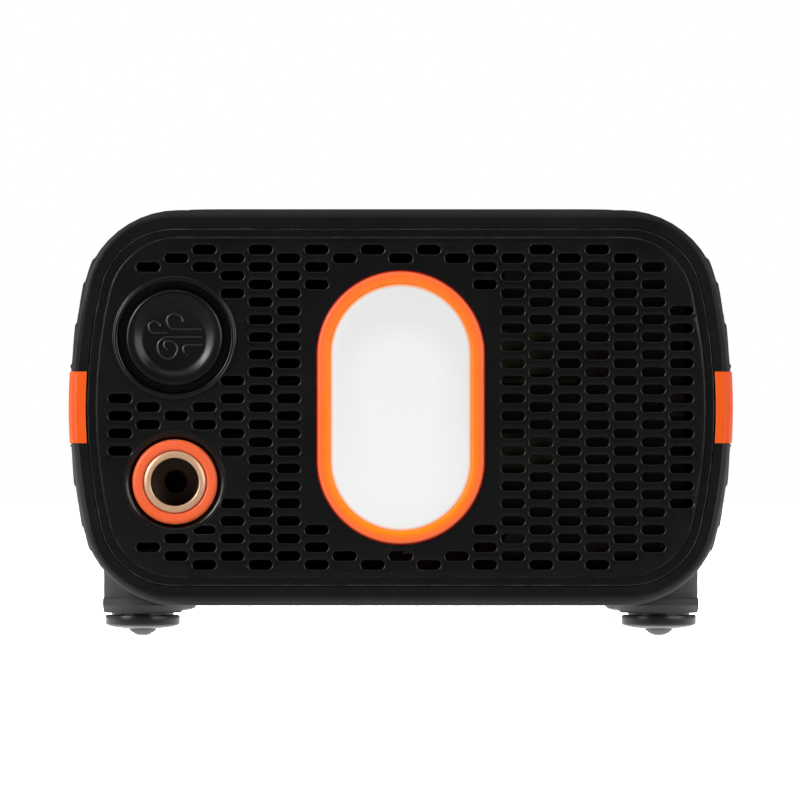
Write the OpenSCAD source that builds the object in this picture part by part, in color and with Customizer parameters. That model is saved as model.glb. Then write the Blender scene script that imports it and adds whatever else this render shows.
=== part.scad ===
// Jump starter pack with a built-in tyre compressor and a work lamp.
// Millimetres. X is the width, Y the length with the front at -Y, and Z is up from the surface
// that the feet stand on.

/* [Body] */
// Width of the shells at mid-height, without the armour
shell_w = 165.9; // [158:0.1:178]
// Height of the shells, from the underside to the crown
shell_h = 99.2; // [94:0.1:112]
// Length of the shells between the two bezels
shell_len = 230; // [215:1:270]
// Wall of the shells
wall = 2.8; // [2.2:0.1:3.4]
// Radius of the shells' long corners
corner_r = 24.3; // [22:0.1:26]
// How far the sides bow out at mid-height
side_bow = 2.95; // [2:0.05:4]
// Length of the rounding at the ends of the shells
end_round = 2.5; // [1.5:0.1:4]
// Height of the shells' underside above the ground
ground_gap = 7.7; // [6.8:0.1:12]

/* [Armour and side strips] */
// How far the armour slats stand out of the sides at their far ends
slat_proud = 0.5; // [0.3:0.1:1.2]
// How far they stand out at the end next to the strip
slat_near = 0.1; // [0:0.05:0.3]
// Distance from one slat to the next
slat_pitch = 10.4; // [9:0.1:11]
// Length of the slope at a slat's far end
slat_slope = 1.2; // [0.6:0.1:2]
// Distance from the ends of the shells to the ends of the slats
slat_end = 9; // [6:0.5:30]
// Height of the orange side strips
strip_h = 18; // [12:0.5:20]
// How far the side strips stand out of the sides
strip_proud = 0.3; // [0.1:0.1:1]
// Depth of the side strips' seat in the shells
strip_seat = 2; // [1.9:0.1:2.1]
// Length of the strips' lugs behind the bezel's joint
strip_lug = 1.2; // [0.8:0.1:2]

/* [Bezels] */
// Step from the shells' sides in to the bezels
bezel_step_x = 1.6; // [0.8:0.1:1.8]
// Step from the shells' top and underside in to the bezels
bezel_step_z = 1.8; // [1:0.1:2.2]
// How much higher than the shells the bezels are centred
bezel_lift = 0.4; // [0:0.1:0.6]
// Radius of the bezels' corners
bezel_corner = 21.5; // [20:0.1:24]
// Width of the bezels' border at the sides and the bottom
bezel_border = 2.7; // [2:0.1:3.5]
// Width of the bezels' border along the top
bezel_top = 3.1; // [2.4:0.1:4]
// Thickness of the front bezel in front of the shells
bezel_t = 2.2; // [1.6:0.1:3]
// Round on the bezels' outer edge
bezel_round = 0.5; // [0.2:0.1:0.9]
// Length of the bezels' skirts inside the shells
skirt_len = 7; // [5:0.5:9]
// Width of the ledge that a panel rests on
ledge = 1.6; // [1:0.1:2.4]

/* [Panels] */
// Thickness of the front and rear panels at their rim
panel_t = 2.5; // [2:0.1:3]
// Width of the rim round a panel's raised face
panel_rim = 2.15; // [1.6:0.05:3.2]
// How far a panel's face is raised above its rim
panel_raise = 0.7; // [0.3:0.1:1.2]
// Corner radius of a panel's raised face
face_corner = 17.4; // [15:0.1:19]
// Depth of the rear panel's rim behind the rear bezel's edge
rear_depth = 6; // [5.4:0.1:7]

/* [Slots] */
// Length of a grille slot
slot_l = 5.8; // [4:0.1:6.2]
// Width of a grille slot
slot_w = 2.3; // [1.6:0.1:2.6]
// Distance between columns of slots
slot_pitch_x = 7.02; // [6.6:0.01:8]
// Distance between slots in a column
slot_pitch_z = 4.38; // [4:0.01:5]
// Solid border between a slot and the edge of the raised face
slot_border = 0.5; // [0.3:0.1:4]
// Solid border between a slot and the lamp
slot_lamp_gap = 1.4; // [1:0.1:6]

/* [Air button] */
// Distance of the air button from the shells' side
button_side = 26.3; // [25:0.05:29]
// Height of the air button above mid-height
button_z = 17.6; // [16.5:0.1:20]
// Radius of the button's cap
cap_r = 12.2; // [10:0.1:12.4]
// Free gap between the cap and its well
well_gap = 2; // [1:0.1:2.2]
// Width of the well's rim
well_rim = 1.4; // [1:0.1:1.6]
// Depth of the well
well_depth = 9; // [8:0.1:11]
// Travel of the button
button_travel = 2; // [1:0.1:2.4]
// How far the cap stands out of the grille's face
cap_proud = 0.5; // [0:0.1:0.8]
// Height of the cap's skirt
cap_h = 6; // [5.5:0.1:6.4]
// Radius of the button's stem
stem_r = 5; // [4:0.1:5.5]

/* [Hose socket] */
// Distance of the hose socket from the shells' side
socket_side = 26.45; // [25:0.05:29]
// Depth of the hose socket below mid-height
socket_z = 18.5; // [17:0.1:20]
// Radius of the socket's bore, which takes the hose's plug
socket_bore_r = 6; // [5:0.1:6.2]
// Depth of the socket's bore
socket_bore_len = 12; // [10:0.5:14]
// Radius of the air way behind the bore
air_way_r = 2.85; // [2:0.05:3.2]
// Wall of the brass body
brass_wall = 1.8; // [1.4:0.1:2]
// Wall of the orange release sleeve
sleeve_wall = 2.8; // [2:0.1:3]
// Length of the release sleeve
sleeve_len = 7.5; // [6:0.1:8]
// Travel of the release sleeve
sleeve_travel = 3; // [2:0.1:3.2]
// Free gap round the release sleeve
sleeve_gap = 0.6; // [0.4:0.1:0.9]
// Radius of the rim round the socket's recess
recess_r = 12.75; // [12.2:0.05:13.4]

/* [Lamp] */
// Width of the orange lamp bezel
lamp_w = 42.1; // [36:0.1:46]
// Height of the orange lamp bezel
lamp_h = 68.6; // [60:0.1:70]
// Border of the lamp bezel round the lens
lamp_border = 3.3; // [2.6:0.1:4]
// How far the lamp bezel stands out of the grille's face
lamp_proud = 0.9; // [0.4:0.1:1.6]
// How far the lens is crowned above the lamp bezel
lens_crown = 0.7; // [0.4:0.1:1.2]
// Depth of the lamp's housing behind the grille's face
lamp_depth = 16; // [14:0.5:20]

/* [Top deck] */
// Width of the top deck
deck_w = 107; // [102:0.5:109]
// Length of the top deck
deck_len = 206; // [200:1:210]
// How far the deck stands out of the upper shell
deck_proud = 0.4; // [0.2:0.1:0.8]
// Depth of the deck's seat in the upper shell
deck_seat = 1.5; // [1.2:0.1:1.7]
// Corner radius of the deck
deck_corner = 9; // [6:0.5:14]
// Length of the display window
window_len = 34; // [28:1:38]
// Width of the display window
window_w = 64; // [50:1:76]
// Width of a key
key_w = 13; // [10:0.5:14]
// Length of a key
key_len = 10; // [8:0.5:12]
// Distance between keys
key_pitch = 18; // [16:0.5:19]
// Travel of a key
key_travel = 0.8; // [0.4:0.1:1]

/* [Handle] */
// Half the inside width of the handle's pan
pan_half = 46; // [44:0.5:47]
// Length of the pan
pan_len = 92; // [88:1:94]
// Depth of the pan below the deck
pan_depth = 13.5; // [13:0.1:15]
// Distance from the handle's pivot to the axis of its grip
handle_reach = 68; // [60:1:70]
// Thickness of the handle's arms
arm_t = 7; // [6:0.5:8]
// Height of the handle's arms
arm_h = 8; // [7:0.5:9]
// Radius of the handle's grip
grip_r = 6; // [5:0.1:6.2]
// Radius of the handle's pivot pins
pivot_r = 2.5; // [2:0.1:3]

/* [Feet] */
// Distance of the feet from the pack's sides
foot_side = 17.85; // [17:0.05:20]
// Distance of the feet from mid-length
foot_y = 96; // [80:1:98]
// Radius of a foot's disc
foot_r = 9.4; // [7:0.1:9.8]
// Radius of the moulded foot bosses
boss_r = 9.85; // [8:0.05:10]
// Radius of the domed screw heads that the pack stands on
dome_r = 3.5; // [2.6:0.1:4]
// Height of the domed screw heads below the feet
dome_h = 1.75; // [1.4:0.05:2]

/* [Rear ports] */
// Distance of the ports from the pack's right side
port_side = 46.95; // [45:0.05:51]
// Width of the jump socket's cover
jump_cover_w = 54; // [50:0.5:58]
// Height of the jump socket's cover
jump_cover_h = 30; // [28:0.5:32]
// Width of the port cover
port_cover_w = 58; // [56:0.5:60]
// Height of the port cover
port_cover_h = 20; // [19:0.5:22]
// Thickness of the covers
cover_t = 2.4; // [2:0.1:2.6]
// Radius of the covers' hinge barrels
barrel_r = 2; // [1.8:0.1:2.2]
// Radius of the covers' hinge pins
hinge_pin_r = 1; // [0.8:0.05:1.2]
// Radius of the jump socket's contacts, which take the cable's plug
jump_bore_r = 4; // [3:0.1:4.4]
// Distance between the two jump contacts
jump_pitch = 20; // [16:0.5:22]
// Depth of the jump contacts
jump_bore_len = 20; // [16:0.5:22]

/* [Battery and compressor] */
// Length of a battery cell
cell_len = 65; // [60:1:70]
// Gap between battery cells
cell_gap = 1; // [0.6:0.1:1.4]
// Radius of the compressor's motor
motor_r = 18.5; // [15:0.5:19]
// Length of the compressor's motor
motor_len = 56; // [50:1:58]
// Radius of the compressor's cylinder fins
fin_r = 16; // [13:0.5:17]
// Radius of the cooling fan
fan_r = 24; // [18:0.5:25]
// Number of fan blades
fan_blades = 9; // [5:1:11]
// Outer radius of the air hose
hose_r = 4; // [3:0.1:4.2]
// Radius of a power lead
lead_r = 2.6; // [2:0.1:3]

/* [Hidden] */

$fn = 48;
fit = 0.05;            // clearance of a running fit, and of a piece pushed into its seat
slack = 0.15;          // clearance of a piece dropped into its seat
joint_gap = 0.3;       // gap between panels, and between pieces that move past each other
past = 1;              // how far a cut runs past the surface that it opens
corner_steps = 10;
bow_steps = 4;

black = [0.09, 0.09, 0.1];
dark = [0.16, 0.16, 0.17];
orange = [0.98, 0.36, 0.12];
brass_colour = [0.8, 0.62, 0.36];
steel = [0.72, 0.73, 0.75];
board_green = [0.1, 0.34, 0.18];

mid_z = ground_gap + shell_h / 2;
crown_z = ground_gap + shell_h;
deck_z = crown_z + deck_proud;
shell_end = shell_len / 2;
front_y = -shell_end - bezel_t;                // plane of the front bezel
face_y = front_y - panel_raise;                // plane of the grille's raised face
lens_y = face_y - lamp_proud - lens_crown;     // foremost point of the pack
rear_edge_y = -lens_y;                         // rear bezel, as far back as the lens is forward
rear_rim_y = rear_edge_y - rear_depth;         // plane of the rear panel's rim
rear_face_y = rear_rim_y + panel_raise;        // plane of the rear panel's raised face

bezel_w = shell_w - 2 * bezel_step_x;
bezel_h = shell_h - 2 * bezel_step_z;
bezel_z = mid_z + bezel_lift;
panel_w = bezel_w - 2 * bezel_border;          // opening of a bezel, which the panel stands in
panel_h = bezel_h - bezel_border - bezel_top;
panel_z = bezel_z - (bezel_top - bezel_border) / 2;
comp_side = 38.95;                             // from the shells' side in to the compressor
comp_x = comp_side - shell_w / 2;
comp_z = mid_z - 13;

// ---------- outlines ----------

// Radius of the arc that bows a side out and runs smoothly into both corners
function bow_radius(h, r, bow) = (pow(bow + r, 2) + pow(h / 2 - r, 2) - r * r) / (2 * bow);

// A quarter of a body outline, from the middle of the side to the middle of the top
function quarter(w, h, r, bow) =
    let (arc = bow_radius(h, r, bow), cx = w / 2 - bow - r, cz = h / 2 - r)
    let (meet = atan2(cz, cx - w / 2 + arc))
    concat(
        [for (i = [0:bow_steps - 1])
            let (a = meet * i / bow_steps) [w / 2 - arc + arc * cos(a), arc * sin(a)]],
        [for (i = [0:corner_steps])
            let (a = meet + (90 - meet) * i / corner_steps) [cx + r * cos(a), cz + r * sin(a)]]);

// A whole body outline round the origin, anticlockwise from the middle of the right side
function outline(w, h, r, bow) =
    let (q = quarter(w, h, r, bow), last = len(q) - 1)
    concat(
        q,
        [for (i = [last:-1:0]) [-q[i][0], q[i][1]]],
        [for (i = [1:last]) [-q[i][0], -q[i][1]]],
        [for (i = [last:-1:1]) [q[i][0], -q[i][1]]]);

function raised(points, z) = [for (p = points) [p[0], p[1] + z]];

// Outline of the shells, set in all round
function shell_outline(inset) =
    raised(outline(shell_w - 2 * inset, shell_h - 2 * inset, corner_r - inset, side_bow), mid_z);

// Outline of the bezels, set in all round
function bezel_outline(inset) =
    raised(outline(bezel_w - 2 * inset, bezel_h - 2 * inset, bezel_corner - inset, side_bow),
           bezel_z);

// Outline of the opening for a panel, set in all round
function panel_outline(inset) =
    raised(outline(panel_w - 2 * inset, panel_h - 2 * inset, bezel_corner - bezel_border - inset,
                   side_bow), panel_z);

// Outline between the shells' (share 0) and the bezels' (share 1)
function end_outline(share) =
    raised(outline(shell_w - 2 * share * bezel_step_x, shell_h - 2 * share * bezel_step_z,
                   corner_r + share * (bezel_corner - corner_r), side_bow),
           mid_z + share * bezel_lift);

// Half-width of a body outline at a height above or below its middle
function half_width(w, h, r, bow, up) =
    let (arc = bow_radius(h, r, bow), cx = w / 2 - bow - r, cz = h / 2 - r)
    let (meet = atan2(cz, cx - w / 2 + arc))
    up <= arc * sin(meet)
        ? w / 2 - arc + sqrt(arc * arc - up * up)
        : cx + sqrt(max(0, r * r - pow(up - cz, 2)));

// Half-width of the shells at a height, set in
function side_x(z, inset) =
    half_width(shell_w - 2 * inset, shell_h - 2 * inset, corner_r - inset, side_bow,
               abs(z - mid_z));

// A band on the right side between two heights, from one depth to another
function side_band(z0, z1, outer, inner) =
    let (steps = 6, dz = (z1 - z0) / steps)
    concat([for (i = [0:steps]) [side_x(z0 + i * dz, outer), z0 + i * dz]],
           [for (i = [steps:-1:0]) [side_x(z0 + i * dz, inner), z0 + i * dz]]);

// An upright pill: straight sides with a half round at each end
function pill(w, h, steps = 16) =
    let (r = w / 2, c = h / 2 - w / 2)
    concat(
        [for (i = [0:steps]) let (a = 180 * i / steps) [r * cos(a), c + r * sin(a)]],
        [for (i = [0:steps]) let (a = 180 + 180 * i / steps) [r * cos(a), -c + r * sin(a)]]);

// ---------- shapes ----------

// Pushes a flat shape, drawn in X and Z, from y0 to y1
module along_y(y0, y1) {
    translate([0, max(y0, y1), 0]) rotate([90, 0, 0]) linear_extrude(abs(y1 - y0)) children();
}

// Closed skin through outlines with equal numbers of points, given as [y, points], front first
module loft(sections) {
    n = len(sections[0][1]);
    m = len(sections);
    polyhedron(
        points = [for (s = sections) for (p = s[1]) [p[0], s[0], p[1]]],
        faces = concat(
            [[for (i = [n - 1:-1:0]) i]],
            [for (k = [0:m - 2]) for (i = [0:n - 1])
                let (a = k * n + i, b = k * n + (i + 1) % n)
                each [[a, b, b + n], [a, b + n, a + n]]],
            [[for (i = [0:n - 1]) (m - 1) * n + i]]));
}

// Round bar along x, from x0 to x1
module bar_along_x(x0, x1, y, z, r) {
    translate([x0, y, z]) rotate([0, 90, 0]) cylinder(r = r, h = x1 - x0);
}

// Stands a piece on the grille's face: local z = 0 is the face, and +z points forwards
module on_face(x, z) {
    translate([x, face_y, z]) rotate([90, 0, 0]) children();
}

module rounded(w, h, r) {
    for (s = [-1, 1]) {
        translate([0, s * (h / 2 - r)]) square([w - 2 * r, 2 * r], center = true);
        for (t = [-1, 1]) translate([t * (w / 2 - r), s * (h / 2 - r)]) circle(r);
    }
    square([w, h - 2 * r], center = true);
}

// Round coil along z, with its wire swept as one tube
module coil(r, wire_r, height, turns) {
    sides = 6;
    rings = turns * 8;
    rise = height - 2 * wire_r;
    points = [for (i = [0:rings]) for (j = [0:sides - 1])
        let (a = 360 * turns * i / rings, b = 360 * j / sides)
        [(r + wire_r * cos(b)) * cos(a), (r + wire_r * cos(b)) * sin(a),
         wire_r + rise * i / rings + wire_r * sin(b)]];
    polyhedron(points, concat(
        [[for (j = [0:sides - 1]) j]],
        [for (i = [0:rings - 1]) for (j = [0:sides - 1])
            let (p = i * sides + j, q = i * sides + (j + 1) % sides)
            each [[p, p + sides, q + sides], [p, q + sides, q]]],
        [[for (j = [sides - 1:-1:0]) rings * sides + j]]));
}

function unit(v) = v / norm(v);

// Point on a smooth curve through four points, t from 0 to 1 between the middle two
function smooth_point(a, b, c, d, t) =
    0.5 * (2 * b + (c - a) * t + (2 * a - 5 * b + 4 * c - d) * t * t
           + (3 * b - a - 3 * c + d) * t * t * t);

function smooth_route(p, steps) =
    let (last = len(p) - 1)
    concat(
        [for (k = [0:last - 1]) for (i = [0:steps - 1])
            smooth_point(p[max(k - 1, 0)], p[k], p[k + 1], p[min(k + 2, last)], i / steps)],
        [p[last]]);

// Tube of eight sides swept along a route
module tube_along(route, r) {
    sides = 8;
    n = len(route);
    points = [for (i = [0:n - 1])
        let (t = unit(route[min(i + 1, n - 1)] - route[max(i - 1, 0)]))
        let (u = unit(cross(t, abs(t[0]) > 0.9 ? [0, 0, 1] : [1, 0, 0])), v = cross(t, u))
        for (j = [0:sides - 1]) let (a = 360 * j / sides)
            route[i] + r * (cos(a) * u + sin(a) * v)];
    polyhedron(points, concat(
        [[for (j = [0:sides - 1]) j]],
        [for (i = [0:n - 2]) for (j = [0:sides - 1])
            let (p = i * sides + j, q = i * sides + (j + 1) % sides)
            each [[p, p + sides, q + sides], [p, q + sides, q]]],
        [[for (j = [sides - 1:-1:0]) (n - 1) * sides + j]]));
}

// ---------- shells ----------

cavity_inset = wall;
strip_low = mid_z - strip_h / 2 + joint_gap / 2;
strip_high = strip_low + strip_h;
slats_per_side = 4;
slat_first = [0.75, 2.15];    // length of the first slat below and above the strip
slat_last = 6;                // length of the last slat

// Outer skin of the shells, rounded in to the bezels at both ends
module shell_skin() {
    steps = 3;
    turn = [for (i = [0:steps]) 90 * i / steps];
    loft(concat(
        [for (i = [steps:-1:0])
            [-shell_end + end_round * (1 - sin(turn[i])), end_outline(1 - cos(turn[i]))]],
        [for (i = [0:steps])
            [shell_end - end_round * (1 - sin(turn[i])), end_outline(1 - cos(turn[i]))]]));
}

module cavity() {
    along_y(-shell_end - past, shell_end + past) polygon(shell_outline(cavity_inset));
}

// Section of a slat, which rises away from the strip and slopes back at its far end
function slat_section(near, far) =
    let (steps = 4, up = sign(far - near), slope = min(slat_slope, abs(far - near) / 2))
    let (run = [for (i = [0:steps]) near + (far - up * slope - near) * i / steps])
    concat(
        [for (i = [0:steps])
            [side_x(run[i], -slat_near - (slat_proud - slat_near) * i / steps), run[i]]],
        [for (inset = [0, cavity_inset / 2]) [side_x(far, inset), far]],
        [for (i = [steps:-1:0]) [side_x(run[i], cavity_inset / 2), run[i]]]);

// Slats above (up 1) or below (up -1) the strip, on the right side of the pack
module slats(up) {
    start = up > 0 ? strip_high + joint_gap : strip_low - joint_gap;
    first = slat_first[up > 0 ? 1 : 0];
    function far_end(k) = first + min(k, slats_per_side - 2) * slat_pitch
        + (k == slats_per_side - 1 ? slat_last : 0);
    for (k = [0:slats_per_side - 1])
        along_y(-shell_end + slat_end, shell_end - slat_end)
            polygon(slat_section(start + up * (k == 0 ? 0 : far_end(k - 1)), start + up * far_end(k)));
}

module mirrored() {
    children();
    mirror([1, 0, 0]) children();
}

// Space that a side strip takes up: its plate along the side and its lugs at both ends
module strip_space(grow) {
    low = strip_low - grow;
    high = strip_high + grow;
    along_y(-shell_end - past, shell_end + past)
        polygon(side_band(low, high, -past, strip_seat + grow));
    for (s = [-1, 1])
        along_y(s * (shell_end - strip_lug - grow), s * (rear_edge_y + past))
            polygon(side_band(low, high, -past, lug_inset + grow));
}

lug_inset = bezel_step_x + bezel_border;

module upper_housing() {
    rebate = deck_seat;
    color(black) difference() {
        union() {
            intersection() {
                shell_skin();
                translate([-shell_w, -shell_len, mid_z]) cube([2 * shell_w, 2 * shell_len, shell_h]);
            }
            mirrored() slats(1);
        }
        cavity();
        mirrored() strip_space(fit);
        translate([0, 0, crown_z - rebate])
            linear_extrude(rebate + past)
                rounded(deck_w + 2 * slack, deck_len + 2 * slack, deck_corner + slack);
        translate([0, 0, crown_z - wall - past])
            linear_extrude(wall + 2 * past)
                rounded(deck_open_w, deck_open_len, deck_corner - deck_ledge);
    }
}

deck_ledge = 2.6;
deck_open_w = deck_w - 2 * deck_ledge;
deck_open_len = deck_len - 2 * deck_ledge;

foot_x = shell_w / 2 - foot_side;
boss_z = ground_gap - 2;
boss_top = ground_gap + 14;
screw_r = 1.7;

// Moulded boss above a foot, flared where it meets the shell and flat on its outer side
module foot_boss() {
    flare_w = 2.7;
    flare_h = 1.6;
    intersection() {
        translate([foot_x, foot_y, 0]) {
            translate([0, 0, boss_z]) cylinder(r = boss_r, h = boss_top - boss_z);
            translate([0, 0, ground_gap - flare_h])
                cylinder(r1 = boss_r, r2 = boss_r + flare_w, h = flare_h);
            translate([0, 0, ground_gap]) cylinder(r = boss_r + flare_w, h = flare_h);
        }
        translate([foot_x - 2 * boss_r, foot_y - 2 * boss_r, 0])
            cube([3 * boss_r, 4 * boss_r, boss_top]);
    }
}

module each_foot() {
    for (s = [-1, 1]) for (t = [-1, 1]) translate([s * foot_x, t * foot_y, 0]) children();
}

module lower_housing() {
    color(black) difference() {
        union() {
            difference() {
                union() {
                    intersection() {
                        shell_skin();
                        translate([-shell_w, -shell_len, mid_z - shell_h])
                            cube([2 * shell_w, 2 * shell_len, shell_h]);
                    }
                    mirrored() {
                        slats(-1);
                        foot_boss();
                        mirror([0, 1, 0]) foot_boss();
                    }
                }
                cavity();
                mirrored() strip_space(fit);
            }
            intersection() {
                each_foot() cylinder(r = screw_post_r, h = boss_top);
                along_y(-shell_end, shell_end) polygon(shell_outline(wall / 2));
            }
        }
        each_foot() {
            translate([0, 0, boss_z - past]) cylinder(r = screw_r + fit, h = screw_len + past);
            translate([0, 0, boss_z - past]) cylinder(r = spigot_r + slack, h = spigot_h + past);
        }
    }
}

screw_post_r = 4.5;
screw_len = 12;
spigot_r = 4;
spigot_h = 1.6;

// Orange strip over the shells' seam; its lugs show on the bezels' faces
module side_strip() {
    steps = 3;
    function end_in(a) = -strip_proud + (strip_proud + bezel_step_x) * (1 - cos(a));
    function end_at(a) = shell_end - end_round * (1 - sin(a));
    turn = [for (i = [0:steps]) 90 * i / steps];
    stations = concat([for (i = [steps:-1:0]) [-end_at(turn[i]), turn[i]]],
                      [for (a = turn) [end_at(a), a]]);
    loft([for (s = stations)
        [s[0], side_band(strip_low, strip_high, end_in(s[1]), strip_seat)]]);
    for (ends = [[-shell_end + strip_lug, front_y], [shell_end - strip_lug, rear_edge_y]])
        along_y(ends[0], ends[1])
            polygon(side_band(strip_low, strip_high, bezel_step_x, lug_inset - slack));
}

module side_strip_right() {
    color(orange) side_strip();
}

module side_strip_left() {
    color(orange) mirror([1, 0, 0]) side_strip();
}

// ---------- bezels and panels ----------

// Ring on a shell's end, drawn for the front; edge_y is its outer plane, rim_y the panel's
module bezel_ring(edge_y, rim_y) {
    skirt_inset = wall + slack;
    difference() {
        union() {
            loft([
                [edge_y, bezel_outline(bezel_round)],
                [edge_y + bezel_round, bezel_outline(0)],
                [-shell_end, bezel_outline(0)],
            ]);
            along_y(-shell_end - fit, -shell_end + skirt_len) polygon(shell_outline(skirt_inset));
        }
        along_y(edge_y - past, rim_y + panel_t) polygon(panel_outline(0));
        along_y(edge_y - past, -shell_end + skirt_len + past) polygon(panel_outline(ledge));
        mirrored() strip_space(fit);
    }
}

module front_bezel() {
    color(black) bezel_ring(front_y, front_y);
}

module rear_bezel() {
    color(black) mirror([0, 1, 0]) bezel_ring(-rear_edge_y, -rear_rim_y);
}

// Outline of a panel's raised face, set in all round
function face_outline(inset) =
    raised(outline(face_w - 2 * inset, face_h - 2 * inset, face_corner - inset, side_bow), panel_z);

face_w = panel_w - 2 * (joint_gap + panel_rim);
face_h = panel_h - 2 * (joint_gap + panel_rim);

// Panel blank, drawn for the front: a rim and a raised face
module panel_blank(rim_y) {
    round_in = 0.3;
    along_y(rim_y, rim_y + panel_t) polygon(panel_outline(joint_gap));
    loft([
        [rim_y - panel_raise, face_outline(round_in)],
        [rim_y - panel_raise + round_in, face_outline(0)],
        [rim_y + panel_t / 2, face_outline(0)],
    ]);
}

module slot() {
    square([slot_l - slot_w, slot_w], center = true);
    for (s = [-1, 1]) translate([s * (slot_l - slot_w) / 2, 0]) circle(slot_w / 2);
}

button_pos = [button_side - shell_w / 2, mid_z + button_z];
socket_pos = [socket_side - shell_w / 2, mid_z - socket_z];
well_r = cap_r + well_gap;
well_out_r = well_r + well_rim - 0.4;
cup_out_r = recess_r - 0.35;
lamp_z = mid_z + 0.1;

// Distance from a point to the lamp's edge
function lamp_distance(x, z) =
    let (straight = (lamp_h - lamp_w) / 2, dz = max(0, abs(z - lamp_z) - straight))
    norm([x, dz]) - lamp_w / 2;

// Distance from a point in to the edge of the raised face
function face_depth(x, up) =
    let (dx = abs(x) - (face_w / 2 - side_bow - face_corner), dz = up - (face_h / 2 - face_corner))
    (dx > 0 && dz > 0)
        ? face_corner - norm([dx, dz])
        : min(half_width(face_w, face_h, face_corner, side_bow, up) - abs(x), face_h / 2 - up);

// Distance from the middle of a round part to the nearest end of a slot
function end_distance(x, z, centre) =
    norm([max(0, abs(x - centre[0]) - slot_reach), z - centre[1]]) - slot_w / 2;

// A slot is left out where its round ends would come too near to the lamp, the button's rim, the
// socket's rim or the edge of the face
slot_reach = (slot_l - slot_w) / 2;
function slot_fits(x, z) =
    face_depth(abs(x) + slot_reach, abs(z - panel_z)) > slot_border + slot_w / 2
    && lamp_distance(max(0, abs(x) - slot_reach), z) > slot_lamp_gap + slot_w / 2
    && end_distance(x, z, button_pos) > well_r + well_rim - 0.2
    && end_distance(x, z, socket_pos) > recess_r - 0.72;

slot_cols = floor(face_w / 2 / slot_pitch_x);
slot_rows = floor(face_h / 2 / slot_pitch_z);
slot_places = [for (c = [-slot_cols:slot_cols]) for (n = [-slot_rows:slot_rows])
    let (x = c * slot_pitch_x, z = mid_z + 0.2 + (n + (c % 2 == 0 ? 0.5 : 0)) * slot_pitch_z)
    if (slot_fits(x, z)) [x, z]];

board_y = face_y + 10;           // front of the control board
board_post_r = 2.5;
board_lamp_gap = 3.95;           // from the board to the lamp
board_side = 11.95;              // from the board to the shells' side
board_end_gap = 12.6;            // from the board to the shells' top and underside
board_x0 = lamp_w / 2 + board_lamp_gap;
board_x1 = shell_w / 2 - board_side;
board_z0 = ground_gap + board_end_gap;
board_z1 = crown_z - board_end_gap;
board_posts = [for (x = [board_x0 + 3.5, board_x1 - 3.5])
    for (z = [board_z0 + 3.5, board_z1 - 3.5]) [x, z]];

module front_grille() {
    color(black) difference() {
        panel_blank(front_y);
        along_y(face_y - past, front_y + panel_t + past) {
            for (p = slot_places) translate(p) slot();
            translate(button_pos) circle(well_out_r + fit);
            translate(socket_pos) circle(cup_out_r + fit);
            translate([0, lamp_z]) polygon(pill(lamp_tube_w + 2 * fit, lamp_tube_h + 2 * fit));
        }
    }
}

// ---------- air button ----------

rim_proud = 0.6;
well_floor = 2;
switch_gap = 0.3;
spring_wire = 0.45;
stem_end = cap_proud - cap_h - 11;                              // local z of the stem's end
switch_top = stem_end - button_travel - switch_gap;
switch_h = 3;
switch_board_t = 1.6;
well_end = switch_top - switch_h;                               // local z of the well's rear edge

module button_well() {
    color(black) on_face(button_pos[0], button_pos[1]) {
        rotate_extrude($fn = 96) polygon([
            [well_r, -well_depth], [well_r, rim_proud - 0.3], [well_r + 0.3, rim_proud],
            [well_r + well_rim - 0.4, rim_proud], [well_r + well_rim, rim_proud - 0.4],
            [well_r + well_rim, 0], [well_out_r, 0], [well_out_r, well_end],
            [well_r, well_end], [well_r, -well_depth - well_floor],
            [stem_r + fit + 1.6, -well_depth - well_floor], [stem_r + fit + 1.6, -well_depth - 5],
            [stem_r + fit, -well_depth - 5], [stem_r + fit, -well_depth],
        ]);
    }
}

// Dish in the cap's face: its depth, and the radii of its mouth and of its flat floor
dish_depth = 1;
dish_r = cap_r - 1.8;
dish_floor_r = dish_r - 2.8;

module air_button() {
    skin = 2.2;
    rim = 0.9;
    steps = 4;
    under = cap_proud - skin - dish_depth;
    color(black) on_face(button_pos[0], button_pos[1]) {
        rotate_extrude($fn = 96) polygon(concat(
            [[0, under], [0, cap_proud - dish_depth]],
            [for (i = [0:steps])
                [dish_floor_r + (dish_r - dish_floor_r) * i / steps,
                 cap_proud - dish_depth * cos(90 * i / steps)]],
            [for (i = [0:steps]) let (a = 90 - 90 * i / steps)
                [cap_r - rim + rim * cos(a), cap_proud - rim + rim * sin(a)]],
            [[cap_r, cap_proud - cap_h], [cap_r - 1.4, cap_proud - cap_h], [cap_r - 1.4, under]]));
        translate([0, 0, stem_end]) cylinder(r = stem_r, h = under + skin / 2 - stem_end);
        air_symbol();
    }
}

// Flat ribbon of one width along a route of points
function ribbon(route, width) =
    let (last = len(route) - 1)
    let (side = [for (i = [0:last])
        let (t = unit(route[min(i + 1, last)] - route[max(i - 1, 0)])) width / 2 * [-t[1], t[0]]])
    concat([for (i = [0:last]) route[i] + side[i]], [for (i = [last:-1:0]) route[i] - side[i]]);

// Points on an arc, without the first of them where it follows another arc
function arc_points(centre, r, from, to, first = 0) =
    let (steps = 14)
    [for (i = [first:steps]) let (a = from + (to - from) * i / steps) centre + r * [cos(a), sin(a)]];

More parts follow.
